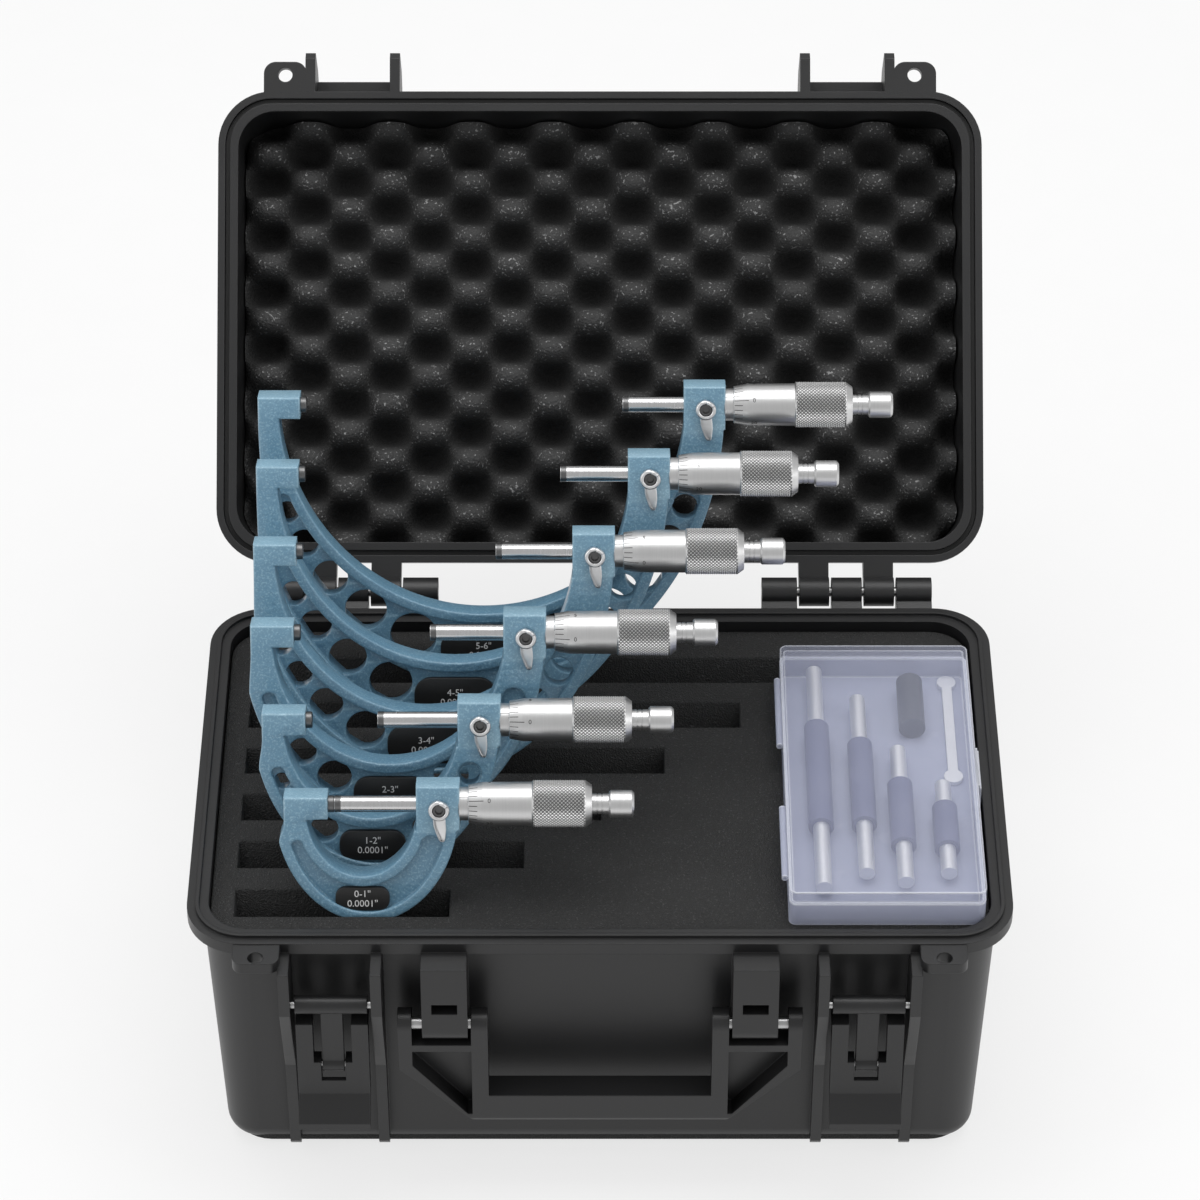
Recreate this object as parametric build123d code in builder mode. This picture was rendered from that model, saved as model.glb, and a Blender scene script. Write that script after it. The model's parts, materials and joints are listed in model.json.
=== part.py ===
from build123d import *
import math
import os

# Micrometer case: a moulded carrying case with a hinged lid, two draw latches and a folding
# handle, holding six outside micrometers in slotted foam and a clear box of setting standards.
# Millimetres, +X to the right, +Y to the hinges, +Z up, origin in the middle of the underside.

# ---- case -------------------------------------------------------------------------------
flange_length = 320.0
flange_depth = 198.0
flange_thickness = 5.5
flange_corner = 22.5
flange_reach = 6.0
base_height = 123.3
lid_depth = 49.5
wall = 2.4
draft = 2.3
body_corner = 18.0
foot_round = 10.0
crown_round = 12.0
rim_gap = 0.3
bead_inset = 3.2
bead_width = 1.6
bead_height = 1.4
groove_depth = 3.6
seal_height = 1.7
seal_clearance = 0.2
lid_open = 134.2

# ---- hinges -----------------------------------------------------------------------------
hinge_offset = 12.5
hinge_drop = 1.7
knuckle_radius = 6.0
hinge_pin_diameter = 4.0
pin_fit = 0.05
hinge_from_end = 57.5
hinge_middle_width = 12.5
hinge_strap_width = 12.4
hinge_strap_gap = 1.0
hinge_end_width = 14.6
hinge_block_height = 26.0

# ---- latches ----------------------------------------------------------------------------
latch_from_end = 56.2
latch_width = 28.0
latch_side_gap = 1.6
latch_rib = 4.2
latch_rib_reach = 13.0
latch_rib_deep = 22.0
latch_rib_low = 56.0
foot_rib_reach = 6.0
link_pivot_z = 98.0
link_pivot_reach = 7.5
link_length = 32.0
link_barrel_radius = 3.6
link_pin_diameter = 3.0
link_stem_width = 8.5
link_stem_thickness = 3.4
lever_body_height = 25.0
lever_thickness = 5.4
lever_skin_depth = 2.3
lever_lip = 9.0
lever_lip_drop = 25.0
lever_arm_width = 6.5
hook_reach = 5.5
catch_gap = 1.0

# ---- padlock ears -----------------------------------------------------------------------
ear_from_end = 28.0
ear_width = 18.0
ear_reach = 12.5
ear_hole_inset = 7.0
ear_hole_diameter = 6.0
ear_thickness = 5.0

# ---- handle -----------------------------------------------------------------------------
handle_half_width = 78.5
handle_pivot_z = 86.0
handle_pivot_reach = 5.5
handle_side_height = 20.0
handle_drop = 50.0
handle_thickness = 11.0
handle_rib = 3.4
handle_web = 3.0
handle_ear_outer = 5.5
handle_ear_inner = 6.5
handle_opening = 43.5
grip_height = 15.0
strap_width = 17.7
strap_side_gap = 1.2
strap_radius = 6.0
handle_pin_diameter = 5.0
window_width = 10.0
window_height = 5.0

# ---- foam -------------------------------------------------------------------------------
foam_gap = 0.3
foam_drop = 4.8
lid_foam_thickness = 12.4
foam_pit_depth = 9.0
foam_pitch_x = 34.25
foam_pitch_y = 23.7
foam_peak_x = -20.35
foam_peak_y = -88.2
foam_pit_margin = 1.5
foam_pit_taper = 22.0
slot_width = 14.0
rows_from_front = 19.6
rows_from_back = 24.6
slots_from_end = 9.6
slot_lengths = [83.5, 112.0, 142.4, 167.7, 198.7, 228.0]

# ---- micrometers ------------------------------------------------------------------------
inch = 25.4
frame_widths = [71.0, 96.0, 119.0, 146.0, 168.0, 191.0]
frame_depths = [47.0, 62.0, 79.0, 94.0, 108.0, 119.0]
frame_bottoms = [15.0, 19.0, 22.0, 24.0, 26.0, 28.0]
frame_shifts = [16.5, 7.0, 1.5, 1.5, 1.5, 1.0]
frame_thickness = 12.0
web_recess = 2.6
frame_rim = 2.8
hole_share = 0.3
head_length = 20.0
head_height = 9.0
arm_width = 12.0
hub_width = 15.0
hub_height = 18.0
anvil_face = 23.0
anvil_diameter = 6.4
spindle_clearance = 0.05
closed_gap = 0.1
lean = 22.0
home_axis = 30.2
stand_in_slot = 6.0
slot_lip = 10.0
slot_wells = [14.0, 24.0, 34.0, 44.0, 54.0, 64.0]
slot_floor_gap = 1.0
plate_length = 19.0
plate_height = 9.0
plate_proud = 0.5
plate_gap = 0.05
plate_chamfer = 2.2
sleeve_diameter = 13.0
sleeve_length = 44.0
sleeve_shank = 9.2
thimble_start = 13.0
thimble_smooth = 15.5
thimble_knurl = 21.5
thimble_diameter = 17.0
knurl_diameter = 18.4
thimble_clearance = 0.3
thimble_nose = 3.0
ratchet_neck = 5.0
ratchet_neck_diameter = 8.0
ratchet_length = 12.0
ratchet_diameter = 10.6
lock_boss_diameter = 8.0
lock_boss_height = 2.4
lock_arm_length = 13.0
lock_arm_width = 3.6
lock_arm_thickness = 1.8

# ---- box of standards -------------------------------------------------------------------
box_from_right = 2.6
box_from_front = 6.6
box_width = 76.0
box_depth = 145.0
tray_height = 11.0
cover_height = 6.0
box_wall = 1.4
box_corner = 3.0
cover_gap = 0.2
cover_hinge_radius = 1.3
cover_hinge_length = 40.0
cover_hinge_spread = 76.0
snap_width = 22.0
rod_diameter = 6.4
grip_diameter = 10.0
grip_share = 0.46
rod_inches = [5, 4, 3, 2]
rod_offsets = [14.0, 31.0, 46.0, 63.0]
rod_starts = [14.0, 22.0, 17.0, 22.0]
capsule_diameter = 10.6
capsule_length = 28.0
capsule_from_back = 39.0
capsule_shift = 2.0
spanner_length = 64.0
spanner_from_back = 67.0
spanner_shift = 5.0
spanner_width = 4.0
spanner_head = 7.6
spanner_thickness = 1.8

# ---- derived sizes ----------------------------------------------------------------------
body_length = flange_length - 2 * flange_reach
body_depth = flange_depth - 2 * flange_reach
body_top = base_height - flange_thickness
cavity_length = body_length - 2 * wall
cavity_depth = body_depth - 2 * wall
cavity_corner = body_corner - wall
front_edge = -flange_depth / 2
front_wall = -body_depth / 2
lid_bottom = base_height + rim_gap
lid_flange_top = lid_bottom + flange_thickness
lid_top = lid_bottom + lid_depth
hinge_y = flange_depth / 2 + hinge_offset
hinge_z = base_height - hinge_drop
hinge_axis = Axis((0, hinge_y, hinge_z), (1, 0, 0))
foam_top = base_height - foam_drop
lid_foam_face = lid_top - wall - foam_gap - lid_foam_thickness
latch_gap = latch_width / 2 + latch_side_gap
cavity_floor = wall
latch_centre = flange_length / 2 - latch_from_end
link_pivot_y = front_edge - link_pivot_reach
ear_x = flange_length / 2 - ear_from_end
handle_pivot_y = front_edge - handle_pivot_reach
hinge_centre = flange_length / 2 - hinge_from_end
row_first = -cavity_depth / 2 + rows_from_front
row_pitch = (cavity_depth - rows_from_front - rows_from_back) / (len(frame_widths) - 1)
slot_left = -cavity_length / 2 + slots_from_end
slot_rights = [slot_left + length for length in slot_lengths]
frame_lefts = [slot_left + shift for shift in frame_shifts]
box_left = cavity_length / 2 - box_from_right - box_width
box_front = -cavity_depth / 2 + box_from_front
box_back = box_front + box_depth
rod_xs = [box_left + offset for offset in rod_offsets]
rod_fronts = [box_front + start for start in rod_starts]
os.makedirs("parts", exist_ok=True)


def slope_at(z):
    # How far the drafted wall has moved in at height z, below the flange.
    return (body_top - z) * math.tan(math.radians(draft))


def write(part, name):
    part.label = name
    export_step(part, "parts/" + name + ".step")


def open_lid(part):
    # The lid and what it carries are drawn shut and swung open about the hinge pins.
    return part.rotate(hinge_axis, -lid_open)


def drafted_block(plane, length, depth, corner, height, end_round):
    # Drafted block with rounded corners that narrows along the plane's normal.
    with BuildPart() as block:
        with BuildSketch(plane):
            RectangleRounded(length, depth, corner)
        extrude(amount=height, taper=draft)
        fillet(block.faces().sort_by(Axis.Z)[0 if plane.z_dir.Z < 0 else -1].edges(), end_round)
    return block.part


# ---- base -------------------------------------------------------------------------------
def rib_profile(top_y, top_z, low_y, low_z, end_z):
    # Side view of a latch rib: deep beside the latch, shallow below it, with rounded ends.
    wall_low = front_wall + slope_at(low_z)
    wall_end = front_wall + slope_at(end_z)
    with BuildSketch(Plane.YZ) as rib:
        with BuildLine():
            Polyline(
                (front_wall + wall / 2, top_z),
                (top_y, top_z),
                (top_y, top_z - latch_rib_deep),
                (low_y - 3, low_z + 8),
                (low_y, low_z),
                (wall_end - foot_rib_reach, end_z + 4),
                (wall_end - foot_rib_reach + 3, end_z),
                (wall_end + wall / 2, end_z),
                (wall_low + wall / 2, low_z),
                close=True,
            )
        make_face()
    return rib.sketch_local


def make_base():
    down = Plane(origin=(0, 0, body_top), x_dir=(1, 0, 0), z_dir=(0, 0, -1))
    rib_side = rib_profile(
        front_edge - latch_rib_reach, body_top + 1, front_wall - 5.0, latch_rib_low, 5.0
    )
    tub = drafted_block(down, body_length, body_depth, body_corner, body_top, foot_round)
    hollow = drafted_block(
        down,
        cavity_length,
        cavity_depth,
        cavity_corner,
        body_top - cavity_floor,
        foot_round - wall,
    )
    with BuildPart() as base:
        # Drafted tub with rounded foot.
        add(tub)
        # Flange round the mouth.
        with BuildSketch(Plane.XY.offset(body_top)):
            RectangleRounded(flange_length, flange_depth, flange_corner)
        extrude(amount=flange_thickness)
        # Raised bead that meets the seal.
        with BuildSketch(Plane.XY.offset(base_height)):
            RectangleRounded(
                flange_length - 2 * bead_inset,
                flange_depth - 2 * bead_inset,
                flange_corner - bead_inset,
            )
            RectangleRounded(
                flange_length - 2 * (bead_inset + bead_width),
                flange_depth - 2 * (bead_inset + bead_width),
                flange_corner - bead_inset - bead_width,
                mode=Mode.SUBTRACT,
            )
        extrude(amount=bead_height)
        # Latch ribs in two pairs, padlock tabs beside them.
        for side in (-1, 1):
            for edge, width in ((latch_gap, latch_rib), (-latch_gap, -latch_rib)):
                x_near = side * (latch_centre + edge)
                x_far = side * (latch_centre + edge + width)
                with BuildSketch(Plane.YZ.offset(min(x_near, x_far))):
                    add(rib_side)
                extrude(amount=abs(width))
            with BuildSketch(Plane.XY.offset(body_top)):
                with Locations((side * ear_x, front_edge)):
                    RectangleRounded(ear_width, 2 * ear_reach - 4, 4)
            extrude(amount=ear_thickness)
            # Handle straps with a square window and a round lower end.
            with BuildSketch(Plane.YZ.offset(side * strap_centre - strap_width / 2)):
                with Locations((handle_pivot_y, handle_pivot_z)):
                    Circle(strap_radius)
                with BuildLine():
                    Polyline(
                        (handle_pivot_y - strap_radius, handle_pivot_z),
                        (handle_pivot_y - strap_radius + 1.5, body_top + 1),
                        (front_wall + wall / 2, body_top + 1),
                        (front_wall + wall / 2 + slope_at(handle_pivot_z - 4), handle_pivot_z - 4),
                        (handle_pivot_y + 3, handle_pivot_z - strap_radius + 1.5),
                        close=True,
                    )
                make_face()
            extrude(amount=strap_width)
            with BuildSketch(Plane.XZ.offset(-handle_pivot_y + strap_radius)):
                with Locations((side * strap_centre, handle_pivot_z + 12.5)):
                    Rectangle(window_width, window_height)
            extrude(amount=-(strap_radius + 5), mode=Mode.SUBTRACT)
            # Hinge blocks behind the flange.
            for inner, width in hinge_blocks:
                x_low = side * hinge_centre + (inner if side > 0 else -inner - width)
                with BuildSketch(Plane.YZ.offset(x_low)):
                    with Locations((hinge_y, hinge_z)):
                        Circle(knuckle_radius)
                    with BuildLine():
                        Polyline(
                            (-front_wall - wall / 2, body_top),
                            (hinge_y - knuckle_radius, hinge_z),
                            (hinge_y + knuckle_radius * 0.7, hinge_z - knuckle_radius * 0.7),
                            (-front_wall - wall / 2, body_top - hinge_block_height),
                            close=True,
                        )
                    make_face()
                extrude(amount=width)
        # Cavity, and the bores for padlock, handle, link and hinge pins.
        add(hollow, mode=Mode.SUBTRACT)
        with BuildSketch(Plane.XY.offset(body_top)):
            RectangleRounded(cavity_length, cavity_depth, cavity_corner)
        extrude(amount=flange_thickness + bead_height, mode=Mode.SUBTRACT)
        for side in (-1, 1):
            with BuildSketch(Plane.XY.offset(body_top - 1)):
                with Locations((side * ear_x, front_edge - ear_hole_inset)):
                    Circle(ear_hole_diameter / 2)
            extrude(amount=ear_thickness + 3, mode=Mode.SUBTRACT)
            with BuildSketch(Plane.YZ.offset(side * strap_centre - strap_width)):
                with Locations((handle_pivot_y, handle_pivot_z)):
                    Circle(handle_pin_diameter / 2 + pin_fit)
            extrude(amount=2 * strap_width, mode=Mode.SUBTRACT)
            with BuildSketch(Plane.YZ.offset(side * latch_centre - latch_width)):
                with Locations((link_pivot_y, link_pivot_z)):
                    Circle(link_pin_diameter / 2)
            extrude(amount=2 * latch_width, mode=Mode.SUBTRACT)
        with BuildSketch(Plane.YZ.offset(-flange_length / 2)):
            with Locations((hinge_y, hinge_z)):
                Circle(hinge_pin_diameter / 2)
        extrude(amount=flange_length, mode=Mode.SUBTRACT)
    write(base.part, "base_shell")


# Hinge blocks of the base: distance of their inner face from the hinge centre, and width.
strap_centre = handle_opening + handle_ear_inner + strap_side_gap + strap_width / 2
hinge_strap_inner = hinge_middle_width / 2 + hinge_strap_gap
hinge_end_inner = hinge_strap_inner + hinge_strap_width + hinge_strap_gap
hinge_blocks = [
    (-hinge_middle_width / 2, hinge_middle_width),
    (hinge_end_inner, hinge_end_width),
    (-hinge_end_inner - hinge_end_width, hinge_end_width),
]
hinge_pin_length = 2 * (hinge_end_inner + hinge_end_width)


# ---- lid --------------------------------------------------------------------------------
def make_lid():
    catch_z = link_pivot_z + link_length + lever_body_height - hook_reach - catch_gap
    up = Plane.XY.offset(lid_flange_top)
    crown = drafted_block(
        up, body_length, body_depth, body_corner, lid_depth - flange_thickness, crown_round
    )
    hollow = drafted_block(
        up,
        cavity_length,
        cavity_depth,
        cavity_corner,
        lid_depth - flange_thickness - wall,
        crown_round - wall,
    )
    with BuildPart() as lid:
        add(crown)
        with BuildSketch(Plane.XY.offset(lid_bottom)):
            RectangleRounded(flange_length, flange_depth, flange_corner)
        extrude(amount=flange_thickness)
        for side in (-1, 1):
            # Ribs that straddle each latch, joined by the catch that its hooks pull on.
            for edge, width in ((latch_gap, latch_rib), (-latch_gap, -latch_rib)):
                x_near = side * (latch_centre + edge)
                x_far = side * (latch_centre + edge + width)
                with BuildSketch(Plane.YZ.offset(min(x_near, x_far))):
                    with BuildLine():
                        Polyline(
                            (front_wall + wall, lid_bottom),
                            (front_edge - 14, lid_bottom),
                            (front_edge - 16.7, lid_bottom + 3),
                            (front_edge - 12, catch_z - 4),
                            (front_edge - 6, catch_z + 3),
                            (front_wall + wall, catch_z + 3),
                            close=True,
                        )
                    make_face()
                extrude(amount=abs(width))
            with BuildSketch(Plane.YZ.offset(side * latch_centre - latch_gap)):
                with Locations(((link_pivot_y + front_wall + wall) / 2 + 1, catch_z - 2)):
                    Rectangle(abs(link_pivot_y - front_wall - wall) + 2, 4)
            extrude(amount=2 * latch_gap)
            # Padlock ears.
            with BuildSketch(Plane.XY.offset(lid_bottom)):
                with Locations((side * ear_x, front_edge)):
                    RectangleRounded(ear_width, 2 * ear_reach, 5)
            extrude(amount=ear_thickness)
            # Hinge straps round the pins.
            for inner in (hinge_strap_inner, -hinge_strap_inner - hinge_strap_width):
                x_low = side * hinge_centre + inner
                with BuildSketch(Plane.YZ.offset(x_low)):
                    with Locations((hinge_y, hinge_z)):
                        Circle(knuckle_radius)
                    with BuildLine():
                        Polyline(
                            (-front_wall - wall, lid_bottom),
                            (hinge_y - knuckle_radius * 0.9, lid_bottom),
                            (hinge_y, hinge_z),
                            (hinge_y, hinge_z + knuckle_radius),
                            (flange_depth / 2, lid_flange_top + 4),
                            (-front_wall - wall, lid_flange_top + 14),
                            close=True,
                        )
                    make_face()
                extrude(amount=hinge_strap_width)
        # Hollow, seal groove, and the bores for padlock and hinge pins.
        with BuildSketch(Plane.XY.offset(lid_bottom)):
            RectangleRounded(cavity_length, cavity_depth, cavity_corner)
        extrude(amount=flange_thickness, mode=Mode.SUBTRACT)
        add(hollow, mode=Mode.SUBTRACT)
        with BuildSketch(Plane.XY.offset(lid_bottom)):
            RectangleRounded(
                flange_length - 2 * (bead_inset - seal_clearance),
                flange_depth - 2 * (bead_inset - seal_clearance),
                flange_corner - bead_inset + seal_clearance,
            )
            RectangleRounded(
                flange_length - 2 * (bead_inset + bead_width + seal_clearance),
                flange_depth - 2 * (bead_inset + bead_width + seal_clearance),
                flange_corner - bead_inset - bead_width - seal_clearance,
                mode=Mode.SUBTRACT,
            )
        extrude(amount=groove_depth, mode=Mode.SUBTRACT)
        with BuildSketch(Plane.XY.offset(lid_bottom - 1)):
            with Locations(
                (ear_x, front_edge - ear_hole_inset), (-ear_x, front_edge - ear_hole_inset)
            ):
                Circle(ear_hole_diameter / 2)
        extrude(amount=ear_thickness + 2, mode=Mode.SUBTRACT)
        with BuildSketch(Plane.YZ.offset(-flange_length / 2)):
            with Locations((hinge_y, hinge_z)):
                Circle(hinge_pin_diameter / 2 + pin_fit)
        extrude(amount=flange_length, mode=Mode.SUBTRACT)
    write(open_lid(lid.part), "lid_shell")


def make_seal():
    with BuildPart() as seal:
        with BuildSketch(Plane.XY.offset(lid_bottom + groove_depth - seal_height)):
            RectangleRounded(
                flange_length - 2 * bead_inset,
                flange_depth - 2 * bead_inset,
                flange_corner - bead_inset,
            )
            RectangleRounded(
                flange_length - 2 * (bead_inset + bead_width),
                flange_depth - 2 * (bead_inset + bead_width),
                flange_corner - bead_inset - bead_width,
                mode=Mode.SUBTRACT,
            )
        extrude(amount=seal_height)
    write(open_lid(seal.part), "lid_seal")


def make_lid_foam():
    depth = lid_top - wall - foam_gap - lid_foam_face
    inset = (lid_foam_face - lid_flange_top) * math.tan(math.radians(draft)) + foam_gap
    with BuildPart() as foam:
        with BuildSketch(Plane.XY.offset(lid_foam_face)):
            RectangleRounded(
                cavity_length - 2 * inset, cavity_depth - 2 * inset, cavity_corner - inset
            )
        extrude(amount=depth, taper=draft)
        chamfer(foam.faces().sort_by(Axis.Z)[-1].edges(), (crown_round - wall) * 0.7)
        # Pits of the egg-crate face, in rows that are shifted by half a pitch.
        half_x = cavity_length / 2 - inset - foam_pit_margin - foam_pitch_x / 4
        half_y = cavity_depth / 2 - inset - foam_pit_margin - foam_pitch_y / 4
        corner = cavity_corner - inset
        pits = []
        for m in range(-12, 13):
            for n in range(-2, 20):
                x = foam_peak_x + m * foam_pitch_x / 2
                y = foam_peak_y + n * foam_pitch_y / 2
                in_corner = abs(x) > half_x - corner and abs(y) > half_y - corner
                if (m + n) % 2 and abs(x) < half_x and abs(y) < half_y and not in_corner:
                    pits.append((x, y))
        with BuildSketch(Plane.XY.offset(lid_foam_face)):
            with Locations(*pits):
                Rectangle(foam_pitch_x / 2 - 1, foam_pitch_y / 2 - 1)
        extrude(amount=foam_pit_depth, taper=foam_pit_taper, mode=Mode.SUBTRACT)
    write(open_lid(foam.part), "lid_foam")


# ---- pins -------------------------------------------------------------------------------
def make_hinge_pins():
    with BuildPart() as pins:
        for side in (-1, 1):
            with BuildSketch(Plane.YZ.offset(side * hinge_centre - hinge_pin_length / 2)):
                with Locations((hinge_y, hinge_z)):
                    Circle(hinge_pin_diameter / 2)
            extrude(amount=hinge_pin_length)
    write(pins.part, "hinge_pins")


def make_link_pins():
    length = 2 * (latch_gap + latch_rib)
    with BuildPart() as pins:
        for side in (-1, 1):
            with BuildSketch(Plane.YZ.offset(side * latch_centre - length / 2)):
                with Locations((link_pivot_y, link_pivot_z)):
                    Circle(link_pin_diameter / 2)
            extrude(amount=length)
    write(pins.part, "latch_pivot_pins")


# ---- latches ----------------------------------------------------------------------------
def make_link(side, name):
    # T-shaped link: a barrel on the base pin, and a stem down to the lever pin.
    low_z = link_pivot_z - link_length
    with BuildPart() as link:
        with BuildSketch(Plane.YZ.offset(side * latch_centre - latch_width / 2)):
            with Locations((link_pivot_y, link_pivot_z)):
                Circle(link_barrel_radius)
        extrude(amount=latch_width)
        with BuildSketch(Plane.XZ.offset(-link_pivot_y - link_stem_thickness / 2)):
            with Locations((side * latch_centre, link_pivot_z - link_length / 2)):
                Rectangle(link_stem_width, link_length)
        extrude(amount=link_stem_thickness)
        with BuildSketch(Plane.YZ.offset(side * latch_centre - link_stem_width / 2)):
            with Locations((link_pivot_y, low_z)):
                Circle(link_barrel_radius - 0.4)
        extrude(amount=link_stem_width)
        with BuildSketch(Plane.YZ.offset(side * latch_centre - latch_width / 2)):
            with Locations((link_pivot_y, link_pivot_z), (link_pivot_y, low_z)):
                Circle(link_pin_diameter / 2 + pin_fit)
        extrude(amount=latch_width, mode=Mode.SUBTRACT)
    write(link.part, name)


def make_lever(side, name):
    # Lever on the link's free end: slotted body, two hooked arms above, finger lip below.
    low_z = link_pivot_z - link_length
    back = link_pivot_y + lever_skin_depth
    top_z = low_z + lever_body_height
    with BuildPart() as lever:
        with BuildSketch(Plane.YZ.offset(side * latch_centre - latch_width / 2)):
            with BuildLine():
                Polyline(
                    (back, top_z - hook_reach),
                    (back + hook_reach, top_z - hook_reach),
                    (back + hook_reach, top_z - 2),
                    (back, top_z),
                    (back - lever_thickness, top_z - 1),
                    (back - lever_thickness - 1, low_z),
                    (back - lever_thickness - 1.5, low_z - lever_lip_drop / 2),
                    (back - lever_thickness - lever_lip, low_z - lever_lip_drop + 3),
                    (back - lever_thickness - lever_lip, low_z - lever_lip_drop),
                    (back - lever_thickness - lever_lip + 4, low_z - lever_lip_drop),
                    (back, low_z - lever_lip_drop / 2 - 2),
                    close=True,
                )
            make_face()
        extrude(amount=latch_width)
        # Middle slot for the stem, open at the top, and the clear space between the arms.
        with BuildSketch(Plane.XZ.offset(-link_pivot_y - 12)):
            with Locations((side * latch_centre, low_z + lever_body_height / 2 + 2)):
                Rectangle(latch_width - 2 * lever_arm_width, lever_body_height - 4)
            with Locations((side * latch_centre, low_z)):
                Rectangle(link_stem_width + 1, 2 * link_barrel_radius + 4)
        extrude(amount=24, mode=Mode.SUBTRACT)
        # Channel in the back, where the stem lies when the latch is shut.
        with BuildSketch(Plane.XZ.offset(-link_pivot_y + lever_skin_depth)):
            with Locations((side * latch_centre, low_z - lever_lip_drop / 2)):
                Rectangle(link_stem_width + 1, lever_lip_drop)
        extrude(amount=-12, mode=Mode.SUBTRACT)
        with BuildSketch(Plane.YZ.offset(side * latch_centre - latch_width / 2)):
            with Locations((link_pivot_y, low_z)):
                Circle(link_pin_diameter / 2)
        extrude(amount=latch_width, mode=Mode.SUBTRACT)
    write(lever.part, name)


def make_lever_pin(side, name):
    low_z = link_pivot_z - link_length
    with BuildPart() as pin:
        with BuildSketch(Plane.YZ.offset(side * latch_centre - latch_width / 2 + 0.5)):
            with Locations((link_pivot_y, low_z)):
                Circle(link_pin_diameter / 2)
        extrude(amount=latch_width - 1)
    write(pin.part, name)


# ---- handle -----------------------------------------------------------------------------
def make_handle():
    ear_outer_in = handle_half_width - handle_ear_outer
    ear_inner_out = handle_opening + handle_ear_inner
    side_z = handle_pivot_z - handle_side_height
    low_z = handle_pivot_z - handle_drop
    top_z = handle_pivot_z + strap_radius
    corner_x = handle_half_width - (side_z - low_z)
    front = Plane.XZ.offset(-handle_pivot_y + handle_thickness / 2)
    with BuildPart() as handle:
        # Outline: upright ears, a sloped shoulder each side, a flat grip across the bottom.
        with BuildSketch(front):
            with BuildLine():
                Polyline(
                    (-handle_half_width, top_z),
                    (-handle_half_width, side_z),
                    (-corner_x, low_z),
                    (corner_x, low_z),
                    (handle_half_width, side_z),
                    (handle_half_width, top_z),
                    close=True,
                )
            make_face()
            with Locations((0, (top_z + low_z + grip_height) / 2)):
                Rectangle(2 * handle_opening, top_z - low_z - grip_height, mode=Mode.SUBTRACT)
            for side in (-1, 1):
                with Locations(
                    (side * (ear_outer_in + ear_inner_out) / 2, handle_pivot_z)
                ):
                    Rectangle(
                        ear_outer_in - ear_inner_out,
                        2 * strap_radius + 2,
                        mode=Mode.SUBTRACT,
                    )
        extrude(amount=-handle_thickness)
        # Triangular pockets that leave a thin web and a rib all round.
        with BuildSketch(front):
            for side in (-1, 1):
                with BuildLine():
                    Polyline(
                        (side * ear_inner_out, handle_pivot_z - strap_radius - 1 - handle_rib),
                        (side * ear_outer_in, handle_pivot_z - strap_radius - 1 - handle_rib),
                        (side * ear_outer_in, side_z + handle_rib / 2),
                        (side * (corner_x + handle_rib), low_z + handle_rib * 1.4),
                        (side * ear_inner_out, low_z + handle_rib * 1.4),
                        close=True,
                    )
                make_face()
        extrude(amount=-(handle_thickness - handle_web), mode=Mode.SUBTRACT)
        grip_edges = handle.edges().filter_by(Axis.X).group_by(Axis.Z)[0]
        fillet(grip_edges, 3.0)
        with BuildSketch(Plane.YZ.offset(-handle_half_width)):
            with Locations((handle_pivot_y, handle_pivot_z)):
                Circle(handle_pin_diameter / 2)
        extrude(amount=2 * handle_half_width, mode=Mode.SUBTRACT)
        round_ends = handle.edges().filter_by(Axis.X).group_by(Axis.Z)[-1]
        fillet(round_ends, handle_thickness / 2 - 0.6)
    write(handle.part, "carry_handle")
    with BuildPart() as pins:
        for side in (-1, 1):
            x_low = handle_opening if side > 0 else -handle_half_width
            with BuildSketch(Plane.YZ.offset(x_low + 0.5)):
                with Locations((handle_pivot_y, handle_pivot_z)):
                    Circle(handle_pin_diameter / 2)
            extrude(amount=handle_half_width - handle_opening - 1)
    write(pins.part, "handle_pins")


# ---- foam insert ------------------------------------------------------------------------
def axis_height(i):
    # Spindle height above the foam, up the leaning frame that stands in its slot's mouth.
    return frame_depths[i] - stand_in_slot


def seat(i):
    # Where the spindle line of micrometer i meets the left edge of its frame.
    back = axis_height(i) * math.sin(math.radians(lean))
    up = axis_height(i) * math.cos(math.radians(lean))
    return Vector(frame_lefts[i], row_first + i * row_pitch + back, foam_top + up)


def facing(i, shift=0.0):
    # Plane of the leaning frame, seen from the front, moved towards the front by shift.
    normal = Vector(0, -math.cos(math.radians(lean)), math.sin(math.radians(lean)))
    return Plane(origin=seat(i) + normal * shift, x_dir=(1, 0, 0), z_dir=normal)


def make_foam():
    down = Plane(origin=(0, 0, foam_top), x_dir=(1, 0, 0), z_dir=(0, 0, -1))
    with BuildPart() as foam:
        with BuildSketch(down):
            RectangleRounded(
                cavity_length - 2 * foam_gap, cavity_depth - 2 * foam_gap, cavity_corner
            )
        extrude(amount=foam_top - cavity_floor - foam_gap, taper=draft)
        chamfer(foam.faces().sort_by(Axis.Z)[0].edges(), (foot_round - wall) * 0.7)
        # Slots that lean back with the frames they hold.
        for i, right in enumerate(slot_rights):
            depth = frame_depths[i] - home_axis + slot_floor_gap
            middle_x = (slot_left + right) / 2 - frame_lefts[i]
            with BuildSketch(facing(i)):
                with Locations((middle_x, (slot_lip - depth) / 2 - axis_height(i))):
                    Rectangle(right - slot_left, depth + slot_lip)
            extrude(amount=slot_width / 2, both=True, mode=Mode.SUBTRACT)
            # Upright well under each mouth, which lets the bow be lifted straight out.
            with BuildSketch(Plane.XY.offset(foam_top)):
                with Locations(((slot_left + right) / 2, row_first + i * row_pitch)):
                    Rectangle(right - slot_left, slot_width / math.cos(math.radians(lean)))
            extrude(amount=-slot_wells[i], mode=Mode.SUBTRACT)
    write(foam.part, "foam_insert")


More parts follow.
